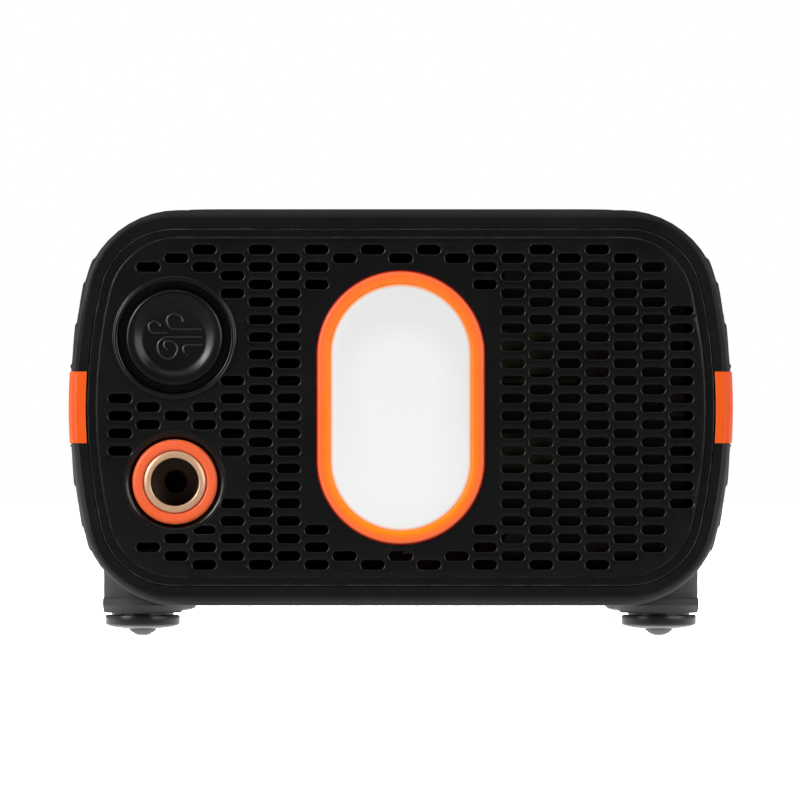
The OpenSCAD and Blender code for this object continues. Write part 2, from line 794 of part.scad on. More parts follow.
// Strokes of moving air that end in curls, raised on the floor of the dish
module air_symbol() {
    stroke = 0.65;
    tall = 0.35;
    sunk = 0.25;
    reach = 7.6;          // radius of the floor that these strokes are laid out on
    routes = [
        concat([[6.9, 2.05]], arc_points([0.1, 4], 1.95, 270, 0)),
        concat([[-1.8, 1.15]], arc_points([-5, 2.6], 1.45, 270, 8)),
        concat([[7.1, 0.1]], arc_points([-1.5, -2.6], 2.7, 90, 270),
               arc_points([-1.5, -3.05], 2.25, 270, 450, 1), arc_points([-1.5, -1.9], 1.1, 90, 270, 1)),
        concat([[7.2, -1.9]], arc_points([3.3, -3], 1.1, 90, 225)),
    ];
    translate([0, 0, cap_proud - dish_depth - sunk])
        linear_extrude(sunk + tall) scale(dish_floor_r / reach) {
            for (r = routes) polygon(ribbon(r, stroke));
            translate([3.1, -4.4]) circle(0.4);
        }
}

module button_spring() {
    color(steel) on_face(button_pos[0], button_pos[1])
        translate([0, 0, -well_depth])
            coil(cap_r - 3.4, spring_wire, well_depth + cap_proud - 2.2 - dish_depth, 4);
}

module air_switch() {
    color(board_green) on_face(button_pos[0], button_pos[1]) {
        translate([0, 0, well_end - switch_board_t]) cylinder(r = well_out_r, h = switch_board_t);
        translate([0, 0, well_end]) linear_extrude(switch_h - 1) square(8, center = true);
        translate([0, 0, well_end]) cylinder(r = 2.2, h = switch_h);
    }
}

// ---------- hose socket ----------

brass_r = socket_bore_r + brass_wall;
sleeve_r = brass_r + fit + sleeve_wall;
cup_r = sleeve_r + sleeve_gap;
cup_depth = sleeve_len + sleeve_travel + 3;
cup_floor = 2;
mouth_proud = 0.4;
socket_end = 24;

module socket_cup() {
    color(black) on_face(socket_pos[0], socket_pos[1])
        rotate_extrude($fn = 96) polygon([
            [cup_r, -cup_depth], [cup_r, -1.6], [recess_r - 0.4, 0.15], [recess_r, 0.15],
            [recess_r, 0], [cup_out_r, 0], [cup_out_r, -cup_depth - cup_floor],
            [brass_r + fit, -cup_depth - cup_floor], [brass_r + fit, -cup_depth],
        ]);
}

module hose_socket() {
    lip = 0.4;
    flange_r = brass_r + 3;
    flange_t = 2.5;
    barb_r = air_way_r + 1.6;
    back = -cup_depth - cup_floor;
    color(brass_colour) on_face(socket_pos[0], socket_pos[1])
        rotate_extrude($fn = 96) polygon([
            [socket_bore_r, mouth_proud - lip - socket_bore_len], [socket_bore_r, mouth_proud - lip],
            [socket_bore_r + lip, mouth_proud], [brass_r - 2 * lip, mouth_proud],
            [brass_r, mouth_proud - 2 * lip], [brass_r, back], [flange_r, back],
            [flange_r, back - flange_t], [barb_r, back - flange_t], [barb_r, -socket_end + 4],
            [barb_r + 0.6, -socket_end + 4], [barb_r - 0.4, -socket_end],
            [air_way_r, -socket_end], [air_way_r, mouth_proud - lip - socket_bore_len],
        ]);
}

module release_sleeve() {
    lead = 0.9;
    color(orange) on_face(socket_pos[0], socket_pos[1])
        rotate_extrude($fn = 96) polygon([
            [brass_r + fit, -sleeve_len], [brass_r + fit, -lead], [brass_r + fit + 0.6, 0],
            [sleeve_r - lead, 0], [sleeve_r - 0.3, -0.3], [sleeve_r, -lead], [sleeve_r, -sleeve_len],
        ]);
}

module sleeve_spring() {
    color(steel) on_face(socket_pos[0], socket_pos[1])
        translate([0, 0, -cup_depth])
            coil((brass_r + sleeve_r) / 2, 0.35, cup_depth - sleeve_len, 3);
}

// ---------- lamp ----------

lamp_tube_w = lamp_w - 1.2;
lamp_tube_h = lamp_h - 1.2;
lens_w = lamp_w - 2 * lamp_border;
lens_h = lamp_h - 2 * lamp_border;
lens_seat = 2.2;           // depth of the lens's flange behind the face
flange_w = lens_w + 2.6;
flange_h = lens_h + 2.6;
lens_flange_t = 1.8;
lamp_board_t = 1.6;
reflector_len = lamp_depth - lens_seat - lens_flange_t - lamp_board_t;

// Skins a pill-shaped piece along the lamp's axis from [depth, inset] pairs; depth is behind the face
module pill_stack(w, h, stack) {
    translate([0, 0, lamp_z])
        loft([for (s = stack) [face_y + s[0], pill(w - 2 * s[1], h - 2 * s[1])]]);
}

module lamp_bezel() {
    color(orange) difference() {
        union() {
            pill_stack(lamp_w, lamp_h,
                [[-lamp_proud, 0.9], [-lamp_proud + 0.2, 0.35], [-lamp_proud + 0.7, 0], [0, 0]]);
            pill_stack(lamp_tube_w, lamp_tube_h, [[-0.2, 0], [lamp_depth, 0]]);
        }
        pill_stack(lens_w, lens_h,
            [[-lamp_proud - past, -0.9], [-lamp_proud + 0.6, 0], [lens_seat + past, 0]]);
        pill_stack(flange_w + 2 * fit, flange_h + 2 * fit, [[lens_seat, 0], [lamp_depth + past, 0]]);
    }
}

module lamp_lens() {
    w = lens_w - 2 * slack;
    h = lens_h - 2 * slack;
    front = -lamp_proud - lens_crown;
    color([0.93, 0.93, 0.93]) {
        pill_stack(w, h, [
            [front, w * 0.3], [front + 0.12 * lens_crown, w * 0.2], [front + 0.4 * lens_crown, w * 0.11],
            [front + 0.75 * lens_crown, w * 0.05], [front + lens_crown + 0.3, 0.5],
            [front + lens_crown + 0.9, 0], [lens_seat + 0.5, 0],
        ]);
        pill_stack(flange_w, flange_h, [[lens_seat, 0], [lens_seat + lens_flange_t, 0]]);
    }
}

module lamp_reflector() {
    rim = 1.2;
    start = lens_seat + lens_flange_t;
    color("white") difference() {
        pill_stack(flange_w, flange_h, [[start, 0], [start + reflector_len, 0]]);
        pill_stack(flange_w - 2 * rim, flange_h - 2 * rim,
            [[start - past, -0.3], [start + reflector_len + past, 3.5]]);
    }
}

module lamp_board() {
    color("white")
        pill_stack(flange_w, flange_h, [[lamp_depth - lamp_board_t, 0], [lamp_depth, 0]]);
}

module lamp_leds() {
    chip = 3;
    chip_h = 0.8;
    pitch = 7;
    color([0.95, 0.85, 0.3])
        for (i = [-1:1]) for (k = [-3:3])
            translate([i * pitch - chip / 2, face_y + lamp_depth - lamp_board_t - chip_h,
                       lamp_z + k * pitch - chip / 2])
                cube([chip, chip_h, chip]);
}

module lamp_heatsink() {
    base = 2;
    fins = 5;
    fin_t = 1.2;
    fin_len = 6;
    color(steel) {
        pill_stack(lamp_tube_w, lamp_tube_h, [[lamp_depth, 0], [lamp_depth + base, 0]]);
        for (i = [0:fins - 1])
            translate([(i - (fins - 1) / 2) * 7 - fin_t / 2, face_y + lamp_depth + base / 2,
                       lamp_z - lamp_h * 0.35])
                cube([fin_t, base / 2 + fin_len, lamp_h * 0.7]);
    }
}

// ---------- top deck ----------

deck_t = deck_seat + deck_proud;
window_y = -70;
key_y = -28;
window_t = 1.2;
key_half = 2;
pan_y0 = 4;
pan_y1 = pan_y0 + pan_len;
pan_wall = 2;
pan_floor_z = deck_z - pan_depth;
pan_corner = 1.5;
pivot_y = pan_y0 + 6.5;
pivot_z = deck_z - 6.4;
eye_r = 5;
key_places = [for (i = [-key_half:key_half]) [i * key_pitch, key_y]];

module window_shape(grow) {
    translate([0, window_y]) rounded(window_w + 2 * grow, window_len + 2 * grow, 3 + grow);
}

module key_shape(grow) {
    rounded(key_w + 2 * grow, key_len + 2 * grow, 2.5 + grow);
}

module pan_shape(grow) {
    translate([0, (pan_y0 + pan_y1) / 2])
        rounded(2 * (pan_half + grow), pan_len + 2 * grow, pan_corner + grow);
}

module top_deck() {
    window_ledge = 2;
    color(dark) difference() {
        union() {
            translate([0, 0, deck_z - deck_t]) linear_extrude(deck_t)
                rounded(deck_w, deck_len, deck_corner);
            translate([0, 0, pan_floor_z - pan_wall]) linear_extrude(pan_depth + pan_wall - 0.5)
                pan_shape(pan_wall);
            translate([0, 0, deck_z - deck_t - display_t]) linear_extrude(display_t + 0.5)
                difference() {
                    window_shape(1.8);
                    window_shape(0);
                }
        }
        translate([0, 0, pan_floor_z]) linear_extrude(pan_depth + past) pan_shape(0);
        translate([0, 0, deck_z - window_t]) linear_extrude(window_t + past) window_shape(0);
        translate([0, 0, deck_z - deck_t - past]) linear_extrude(deck_t + 2 * past) {
            window_shape(-window_ledge);
            for (p = key_places) translate(p) key_shape(joint_gap);
        }
        bar_along_x(-pan_half - pan_wall / 2 - past, pan_half + pan_wall / 2 + past,
                    pivot_y, pivot_z, pivot_r + fit / 2);
    }
}

module display_window() {
    color([0.05, 0.05, 0.06]) translate([0, 0, deck_z - window_t])
        linear_extrude(window_t - 0.1) window_shape(-slack);
}

display_t = 5;

module display_module() {
    color([0.2, 0.22, 0.22]) translate([0, 0, deck_z - deck_t - display_t + 0.4])
        linear_extrude(display_t - 0.4) window_shape(-slack);
}

key_stem = 3;
key_board_t = 1.6;
key_dome = 0.6;
key_board_z = deck_z - deck_t - key_stem - key_travel - key_dome - 0.1;

// Board under the keys, hung from the deck by its four posts
module key_board() {
    w = 2 * key_half * key_pitch + 1.5 * key_w;
    l = 2.2 * key_len;
    color(board_green) {
        translate([-w / 2, key_y - l / 2, key_board_z - key_board_t]) cube([w, l, key_board_t]);
        for (p = key_places) translate([p[0], p[1], key_board_z]) cylinder(r = 2, h = key_dome);
        for (s = [-1, 1]) for (t = [-1, 1])
            translate([s * (w / 2 - 2.4), key_y + t * (l / 2 - 2.4), key_board_z - 0.1])
                cylinder(r = 2, h = deck_z - deck_t - key_board_z + 0.1);
    }
}

// A key: its cap, a flange that keeps it in, and a stem down to its dome
module key_cap(place) {
    key_proud = 0.3;
    flange_t = 0.8;
    translate([place[0], place[1], 0]) {
        translate([0, 0, deck_z - deck_t - flange_t])
            linear_extrude(deck_t + flange_t + key_proud) key_shape(0);
        translate([0, 0, deck_z - deck_t - flange_t - 0.1])
            linear_extrude(flange_t) key_shape(1);
        translate([0, 0, deck_z - deck_t - key_stem]) cylinder(r = 1.5, h = key_stem);
    }
}

module key_power() {
    color(orange) key_cap(key_places[2]);
}

module key_light() {
    color(dark) key_cap(key_places[0]);
}

module key_mode() {
    color(dark) key_cap(key_places[1]);
}

module key_minus() {
    color(dark) key_cap(key_places[3]);
}

module key_plus() {
    color(dark) key_cap(key_places[4]);
}

// ---------- handle ----------

arm_out = pan_half - 1;
arm_in = arm_out - arm_t;
grip_y = pivot_y + handle_reach;
bar_r = grip_r - 2;

module handle() {
    color(dark) difference() {
        union() {
            mirrored() {
                bar_along_x(arm_in, arm_out, pivot_y, pivot_z, eye_r);
                translate([arm_in, pivot_y, pivot_z - arm_h / 2])
                    cube([arm_t, handle_reach, arm_h]);
                bar_along_x(arm_in, arm_out, grip_y, pivot_z, grip_r);
            }
            bar_along_x(-arm_in - past, arm_in + past, grip_y, pivot_z, bar_r);
        }
        bar_along_x(-arm_out - past, arm_out + past, pivot_y, pivot_z, pivot_r + fit);
    }
}

// Soft sleeve on the handle's bar, with shallow finger ribs
module handle_grip() {
    ribs = 9;
    pitch = 2 * (arm_in - slack) / ribs;
    color(black) translate([-arm_in + slack, grip_y, pivot_z]) rotate([0, 90, 0])
        rotate_extrude($fn = 64) polygon(concat(
            [[bar_r + fit, 0]],
            [for (i = [0:ribs - 1]) each [
                [grip_r - 0.5, i * pitch], [grip_r, (i + 0.2) * pitch],
                [grip_r, (i + 0.8) * pitch], [grip_r - 0.5, (i + 1) * pitch - 0.01]]],
            [[bar_r + fit, ribs * pitch]]));
}

module handle_pins() {
    color(steel) mirrored()
        bar_along_x(arm_in, pan_half + pan_wall / 2, pivot_y, pivot_z, pivot_r);
}

// ---------- feet ----------

foot_top = boss_z;
foot_neck = 0.6;
foot_under = dome_h;

module feet() {
    disc_t = 2.3;
    edge = 0.35;
    color(black) each_foot() rotate_extrude($fn = 64) polygon([
        [screw_r + fit, foot_under], [dome_r, foot_under], [foot_r - 1, foot_top - foot_neck - disc_t],
        [foot_r - edge, foot_top - foot_neck - disc_t + edge],
        [foot_r, foot_top - foot_neck - disc_t + 2 * edge],
        [foot_r, foot_top - foot_neck - edge], [foot_r - edge, foot_top - foot_neck],
        [foot_r - 1.6, foot_top - foot_neck], [foot_r - 1.6, foot_top], [spigot_r, foot_top],
        [spigot_r, foot_top + spigot_h - 0.2], [screw_r + fit, foot_top + spigot_h - 0.2],
    ]);
}

// Domed screw head, cut flat where it stands on the ground
module foot_screws() {
    flat_r = 1.5;
    centre = (dome_r * dome_r + dome_h * dome_h - flat_r * flat_r) / (2 * dome_h);
    ball = norm([flat_r, centre]);
    low = asin(flat_r / ball);
    high = asin(dome_r / ball);
    color(dark) each_foot() {
        rotate_extrude($fn = 64) polygon(concat(
            [[0, 0]],
            [for (i = [0:5]) let (a = low + (high - low) * i / 5)
                [ball * sin(a), centre - ball * cos(a)]],
            [[0, dome_h]]));
        cylinder(r = screw_r, h = boss_z + screw_len - 1);
    }
}

// ---------- rear ----------

cover_back = rear_face_y + 0.2;          // inner face of the covers
hinge_y = cover_back + 1;
port_x = shell_w / 2 - port_side;
jump_z = mid_z - 22;
port_z = mid_z + 19;
hinge_drop = 3.2;                        // from a cover's top edge up to its hinge axis
vent_z = comp_z - 4;                     // the vents open behind the compressor
vent_half_w = 19;
vent_half_h = 21;
jump_face_w = 40;
jump_face_h = 18;
port_face_w = 48;
port_face_h = 11;
ear_w = 5;

function hinge_z(z, h) = z + h / 2 + hinge_drop;

// Ears of a cover's hinge, moulded on the panel, with a hole for the pin
module hinge_ears(z, w, h) {
    for (s = [-1, 1])
        translate([port_x + s * (w / 2 - ear_w / 2) - ear_w / 2, 0, 0]) difference() {
            union() {
                bar_along_x(0, ear_w, hinge_y, hinge_z(z, h), barrel_r);
                translate([0, rear_face_y - panel_raise, hinge_z(z, h) - barrel_r])
                    cube([ear_w, hinge_y - rear_face_y + panel_raise, 2 * barrel_r]);
            }
            bar_along_x(-past, ear_w + past, hinge_y, hinge_z(z, h), hinge_pin_r + fit / 2);
        }
}

// Groove in the panel's face that a cover's barrel turns in
module barrel_groove(z, w, h) {
    half = w / 2 - ear_w;
    bar_along_x(port_x - half, port_x + half, hinge_y, hinge_z(z, h), barrel_r + joint_gap);
}

vent_cols = floor(vent_half_w / slot_pitch_x);
vent_rows = floor(vent_half_h / slot_pitch_z);
vent_places = [for (c = [-vent_cols:vent_cols]) for (n = [-vent_rows:vent_rows])
    let (row = n + (c % 2 == 0 ? 0.5 : 0))
    if (abs(row) <= vent_rows) [comp_x + c * slot_pitch_x, vent_z + row * slot_pitch_z]];

module rear_panel() {
    color(black) {
        difference() {
            mirror([0, 1, 0]) panel_blank(-rear_rim_y);
            along_y(rear_rim_y - panel_t - past, rear_face_y + past) {
                for (p = vent_places) translate(p) slot();
                translate([port_x, jump_z]) rounded(jump_face_w + 2 * slack, jump_face_h + 2 * slack, 4);
                translate([port_x, port_z]) rounded(port_face_w + 2 * slack, port_face_h + 2 * slack, 2);
            }
            barrel_groove(jump_z, jump_cover_w, jump_cover_h);
            barrel_groove(port_z, port_cover_w, port_cover_h);
        }
        hinge_ears(jump_z, jump_cover_w, jump_cover_h);
        hinge_ears(port_z, port_cover_w, port_cover_h);
    }
}

// A hinged cover: its plate, its barrel between the ears, a web to it, and a lip for a finger
module cover(z, w, h) {
    half = w / 2 - ear_w - joint_gap;          // of the barrel
    axis_z = hinge_z(z, h);
    lip = 1.4;
    difference() {
        union() {
            along_y(cover_back, cover_back + cover_t) translate([port_x, z]) rounded(w, h, 4);
            bar_along_x(port_x - half, port_x + half, hinge_y, axis_z, barrel_r);
            translate([port_x - half, cover_back, z + h / 2 - 1])
                cube([2 * half, cover_t, hinge_drop + 1]);
            translate([port_x - w / 6, cover_back + 0.6, z - h / 2 - lip])
                cube([w / 3, cover_t - 0.6, 2 * lip]);
        }
        bar_along_x(port_x - half - past, port_x + half + past, hinge_y, axis_z, hinge_pin_r + fit);
    }
}

module jump_cover() {
    color(orange) cover(jump_z, jump_cover_w, jump_cover_h);
}

module port_cover() {
    color(dark) cover(port_z, port_cover_w, port_cover_h);
}

module cover_pins() {
    color(steel) for (c = [[jump_z, jump_cover_w, jump_cover_h], [port_z, port_cover_w, port_cover_h]])
        bar_along_x(port_x - c[1] / 2, port_x + c[1] / 2, hinge_y, hinge_z(c[0], c[2]), hinge_pin_r);
}

contact_wall = 1;
socket_flange = 3;
socket_depth = jump_bore_len + 4;
rear_inside_y = rear_rim_y - panel_t;

module jump_socket() {
    hole_r = jump_bore_r + contact_wall + fit;
    color(dark) difference() {
        union() {
            along_y(rear_face_y - socket_depth, rear_face_y) translate([port_x, jump_z])
                rounded(jump_face_w, jump_face_h, 4 - slack);
            along_y(rear_inside_y - 3, rear_inside_y) translate([port_x, jump_z])
                rounded(jump_face_w + 2 * socket_flange, jump_face_h + 2 * socket_flange, 4);
        }
        for (s = [-1, 1]) along_y(rear_face_y - jump_bore_len - 2, rear_face_y + past)
            translate([port_x + s * jump_pitch / 2, jump_z]) circle(hole_r);
        for (s = [-1, 1]) along_y(rear_face_y - socket_depth - past, rear_face_y)
            translate([port_x + s * jump_pitch / 2, jump_z]) circle(lead_r + 0.4);
    }
}

// Two brass cups in the jump socket, each with a tail for its lead
module jump_contacts() {
    color(brass_colour) for (s = [-1, 1])
        translate([port_x + s * jump_pitch / 2, rear_face_y, jump_z]) rotate([-90, 0, 0])
            rotate_extrude($fn = 64) polygon([
                [jump_bore_r, -jump_bore_len], [jump_bore_r, 0], [jump_bore_r + contact_wall, 0],
                [jump_bore_r + contact_wall, -jump_bore_len - 2], [0, -jump_bore_len - 2],
                [0, -jump_bore_len],
            ]);
}

port_depth = 16;

module port_block() {
    color(dark) difference() {
        union() {
            along_y(rear_face_y - port_depth, rear_face_y) translate([port_x, port_z])
                rounded(port_face_w, port_face_h, 2 - slack);
            along_y(rear_inside_y - 2, rear_inside_y) translate([port_x, port_z])
                rounded(port_face_w + 4, port_face_h + 4, 2);
        }
        along_y(rear_face_y - port_depth + 2, rear_face_y + past) translate([port_x, port_z]) {
            for (x = usb_places) translate([x, 0])
                square([usb_w + 2 * fit, usb_h + 2 * fit], center = true);
            translate([usb_c_x, 0]) rounded(usb_c_w + 2 * fit, usb_c_h + 2 * fit, usb_c_h / 2);
            translate([dc_x, 0]) circle(dc_r + fit);
        }
    }
}

usb_places = [-16, 0];
usb_w = 13;
usb_h = 5.6;
usb_wall = 0.4;
usb_c_x = 11;
usb_c_w = 9.2;
usb_c_h = 3.4;
dc_x = 19.5;
dc_r = 3.2;

// Metal shells of the sockets, each with its tongue or pin
module port_shells() {
    back = rear_face_y - port_depth + 2;
    color(steel) translate([port_x, 0, port_z]) {
        for (x = usb_places) {
            along_y(back, rear_face_y) translate([x, 0]) difference() {
                square([usb_w, usb_h], center = true);
                square([usb_w - 2 * usb_wall, usb_h - 2 * usb_wall], center = true);
            }
            along_y(back, back + 0.5) translate([x, 0]) square([usb_w, usb_h], center = true);
            along_y(back, rear_face_y - 1.5) translate([x, 1]) square([usb_w - 2, 1.8], center = true);
        }
        along_y(back, rear_face_y) translate([usb_c_x, 0]) difference() {
            rounded(usb_c_w, usb_c_h, usb_c_h / 2 - 0.01);
            rounded(usb_c_w - 2 * usb_wall, usb_c_h - 2 * usb_wall, usb_c_h / 2 - usb_wall - 0.01);
        }
        along_y(back, back + 0.5) translate([usb_c_x, 0]) rounded(usb_c_w, usb_c_h, usb_c_h / 2 - 0.01);
        along_y(back, rear_face_y - 1) translate([usb_c_x, 0]) square([usb_c_w - 2.4, 0.7], center = true);
        along_y(back, rear_face_y) translate([dc_x, 0]) difference() {
            circle(dc_r);
            circle(dc_r - usb_wall);
        }
        along_y(back, back + 0.5) translate([dc_x, 0]) circle(dc_r);
        along_y(back, rear_face_y - 1) translate([dc_x, 0]) circle(0.9);
    }
}

// ---------- boards ----------

board_t = 1.6;

module control_board() {
    color(board_green) {
        along_y(board_y, board_y + board_t)
            translate([board_x0, board_z0]) square([board_x1 - board_x0, board_z1 - board_z0]);
        for (p = board_posts)
            along_y(front_y + panel_t, board_y + board_t / 2) translate(p) circle(board_post_r);
    }
}

// Low box on the front of the board; x, z, width and height are shares of the board's size
module board_box(x, z, w, h, tall) {
    board_w = board_x1 - board_x0;
    board_h = board_z1 - board_z0;
    translate([board_x0 + x * board_w, board_y - tall, board_z0 + z * board_h])
        cube([w * board_w, tall, h * board_h]);
}

can_pitch = 11;
can_r = 4;
can_l = 6;

// Two coil blocks and a jumper bar on the front, and a row of capacitors on the back
module board_capacitors() {
    color([0.85, 0.72, 0.2]) {
        board_box(0, 0.615, 0.3, 0.15, 4.5);
        board_box(0, 0.295, 0.3, 0.12, 4.5);
        board_box(0, 0.585, 0.41, 0.014, 2);
        for (i = [0:2]) translate([board_x0 + 10 + i * can_pitch, board_y + board_t, mid_z])
            rotate([-90, 0, 0]) cylinder(r = can_r, h = can_l);
    }
}

module board_relays() {
    color([0.35, 0.05, 0.06]) {
        board_box(0.435, 0.604, 0.175, 0.095, 5);
        board_box(0.435, 0.01, 0.175, 0.055, 5);
        board_box(0.9, 0.47, 0.1, 0.08, 5);
    }
}

// ---------- battery ----------

cell_cols = 3;
cell_rows = 2;
bank_left = -8;                  // left edge of the cells
bank_side = 10.95;               // from the cells to the shells' side
cell_r = (shell_w / 2 - bank_side - bank_left - (cell_cols - 1) * cell_gap) / (2 * cell_cols);
cell_pitch = 2 * cell_r + cell_gap;
cell_x0 = bank_left + cell_r;
cell_z0 = ground_gap + wall + cell_r + 2.6;
bank_gap = 6;
bank_y0 = -68;
holder_t = 5;
bar_t = 0.4;
bank_starts = [bank_y0, bank_y0 + cell_len + bank_gap];
cell_places = [for (i = [0:cell_cols - 1]) for (k = [0:cell_rows - 1])
    [cell_x0 + i * cell_pitch, cell_z0 + k * cell_pitch]];
holder_top = cell_z0 + (cell_rows - 1) * cell_pitch + cell_r + 2;

module battery_cells() {
    color([0.2, 0.35, 0.6]) for (y = bank_starts) for (p = cell_places)
        translate([p[0], y, p[1]]) rotate([-90, 0, 0]) cylinder(r = cell_r, h = cell_len);
}

// Plates that hold the cells near both ends of each bank, standing on the lower shell
module cell_holders() {
    x0 = cell_x0 - cell_r - 2;
    color(dark) for (y = bank_starts) for (d = [3, cell_len - holder_t - 3])
        difference() {
            intersection() {
                translate([x0, y + d, ground_gap])
                    cube([shell_w / 2 - x0, holder_t, holder_top - ground_gap]);
                along_y(y + d, y + d + holder_t) polygon(shell_outline(wall + fit));
            }
            for (p = cell_places) translate([p[0], y + d - past, p[1]]) rotate([-90, 0, 0])
                cylinder(r = cell_r + slack, h = holder_t + 2 * past);
        }
}

module bus_bars() {
    w = 9;
    color(steel) for (y = bank_starts) for (i = [0:cell_cols - 1]) for (e = [-bar_t, cell_len])
        translate([cell_x0 + i * cell_pitch - w / 2, y + e, cell_z0 - 6])
            cube([w, bar_t, cell_pitch + 12]);
}

power_x0 = cell_x0 - cell_r;
power_x1 = cell_x0 + 2 * cell_pitch + cell_r - 2;
power_y0 = bank_y0 + 4;
power_y1 = bank_y0 + 2 * cell_len + bank_gap - 4;
power_z = holder_top + 3;
coil_h = 10;

module power_board() {
    color(board_green) {
        translate([power_x0, power_y0, power_z])
            cube([power_x1 - power_x0, power_y1 - power_y0, board_t]);
        for (x = [power_x0 + 4, power_x1 - 4])
            for (y = [bank_starts[0] + 3 + holder_t / 2, bank_starts[1] + cell_len - 3 - holder_t / 2])
                translate([x, y, holder_top]) cylinder(r = 2.2, h = power_z - holder_top + board_t / 2);
    }
}

module power_parts() {
    z = power_z + board_t;
    w = power_x1 - power_x0;
    l = power_y1 - power_y0;
    color([0.75, 0.75, 0.2]) {
        for (i = [0:2]) translate([power_x0 + w * (0.13 + 0.28 * i), power_y0 + l * 0.24, z])
            cube([w * 0.2, l * 0.16, coil_h]);
        for (i = [0:3]) translate([power_x0 + w * (0.16 + 0.22 * i), power_y1 - l * 0.24, z])
            cylinder(r = w * 0.065, h = coil_h - 1);
    }
}

// Heavy leads from the bank's rear end to the jump contacts
lead_start_y = bank_starts[1] + cell_len + bar_t;
lead_end_y = rear_face_y - jump_bore_len - 2;

module power_leads() {
    color([0.6, 0.05, 0.05]) for (s = [-1, 1]) {
        x0 = cell_x0 + cell_pitch + s * cell_pitch;
        x1 = port_x + s * jump_pitch / 2;
        run = lead_end_y - lead_start_y;
        tube_along(smooth_route([
            [x0, lead_start_y, cell_z0],
            [x0, lead_start_y + run * 0.15, cell_z0],
            [x0, lead_start_y + run * 0.3, cell_z0],
            [(x0 + x1) / 2, lead_start_y + run * 0.5, (cell_z0 + jump_z) / 2],
            [x1, lead_start_y + run * 0.7, jump_z],
            [x1, lead_end_y - 3.5, jump_z],
            [x1, lead_end_y, jump_z],
        ], 4), lead_r);
    }
}

// ---------- compressor ----------

motor_y0 = 32;
crank_len = 36;
crank_y0 = motor_y0 - crank_len;
crank_half = 22;
bracket_z = ground_gap + wall + 3;
mount_xs = [-7.5, 16.5];
mount_in = 7;
mount_r = 4;
bracket_t = 2;
crank_top = comp_z + 20;
bore_y = crank_y0 + crank_len / 2;
head_z = crank_top + 16;
head_h = 9;
shaft_r = 2.5;
shaft_y0 = motor_y0 + motor_len - 6;
fan_len = 9;
fan_y0 = motor_y0 + motor_len + 5;
port_tube_r = 3;

module compressor_motor() {
    cap = 3;
    color(steel) translate([comp_x, motor_y0, comp_z]) rotate([-90, 0, 0]) difference() {
        union() {
            cylinder(r = motor_r, h = motor_len - cap);
            cylinder(r = motor_r - 2, h = motor_len);
        }
        translate([0, 0, shaft_y0 - 1 - motor_y0]) cylinder(r = shaft_r + fit, h = motor_len);
    }
}

module crankcase() {
    color([0.55, 0.56, 0.58]) {
        along_y(crank_y0, motor_y0) translate([comp_x, (bracket_z + bracket_t + crank_top) / 2])
            rounded(2 * crank_half, crank_top - bracket_z - bracket_t, 6);
        translate([comp_x, crank_y0 - 4, comp_z]) rotate([-90, 0, 0])
            cylinder(r = crank_half - 5, h = 6);
    }
}

module finned_cylinder() {
    fins = 5;
    gap = (head_z - crank_top) / fins;
    color([0.6, 0.61, 0.63]) translate([comp_x, bore_y, crank_top]) {
        cylinder(r = fin_r - 4, h = head_z - crank_top);
        for (i = [0:fins - 1]) translate([0, 0, (i + 0.3) * gap]) cylinder(r = fin_r, h = gap * 0.4);
    }
}

module cylinder_head() {
    color([0.55, 0.56, 0.58]) {
        translate([comp_x, bore_y, head_z]) linear_extrude(head_h) rounded(2 * fin_r, 2 * fin_r, 4);
        translate([comp_x, bore_y - fin_r - 6, head_z + head_h / 2]) rotate([-90, 0, 0])
            cylinder(r = port_tube_r, h = 8);
    }
}

// Cradle of the compressor on its four rubber mounts
module compressor_bracket() {
    w = 43;
    y0 = crank_y0 + 2;
    y1 = motor_y0 + motor_len - 8;
    saddle_t = 8;
    color(dark) {
        difference() {
            union() {
                translate([comp_x - w / 2, y0, bracket_z]) cube([w, y1 - y0, bracket_t]);
                for (y = [motor_y0 + 8, y1 - saddle_t])
                    translate([comp_x - motor_r, y, bracket_z])
                        cube([2 * motor_r, saddle_t, comp_z - bracket_z - 6]);
            }
            translate([comp_x, motor_y0 - past, comp_z]) rotate([-90, 0, 0])
                cylinder(r = motor_r + fit, h = motor_len);
        }
        for (x = mount_xs) for (y = [y0 + mount_in, y1 - mount_in])
            translate([comp_x + x, y, ground_gap + wall])
                cylinder(r = mount_r, h = bracket_z - ground_gap - wall + 1);
    }
}

module motor_shaft() {
    color(steel) translate([comp_x, shaft_y0, comp_z]) rotate([-90, 0, 0])
        cylinder(r = shaft_r, h = fan_y0 + fan_len + 1 - shaft_y0);
}

module fan_rotor() {
    hub_r = 8;
    blade_t = 1.4;
    color(dark) translate([comp_x, fan_y0, comp_z]) rotate([-90, 0, 0]) difference() {
        union() {
            cylinder(r = hub_r, h = fan_len);
            intersection() {
                for (i = [0:fan_blades - 1]) rotate([0, 0, 360 * i / fan_blades])
                    translate([0, 0, fan_len / 2]) rotate([38, 0, 0])
                        translate([hub_r - 1, -blade_t / 2, -fan_len])
                            cube([fan_r, blade_t, 2 * fan_len]);
                cylinder(r = fan_r, h = fan_len);
            }
        }
        translate([0, 0, -past]) cylinder(r = shaft_r + fit / 2, h = fan_len + 2 * past);
    }
}

// Route of the air hose, from the cylinder head to the tail of the hose socket
hose_start = [comp_x, bore_y - fin_r - 6, head_z + head_h / 2];
hose_end = [socket_pos[0], face_y + socket_end, socket_pos[1]];
hose_route = [
    hose_start,
    hose_start + [0, -5, 0],
    hose_start + [0, -10, 0],
    hose_start + [0, -26, -8],
    [comp_x, -62, mid_z],
    hose_end + [2, 14, 3],
    hose_end + [0, 6, 0],
    hose_end + [0, 3, 0],
    hose_end,
];

module air_hose() {
    color([0.12, 0.12, 0.13]) tube_along(smooth_route(hose_route, 4), hose_r);
}

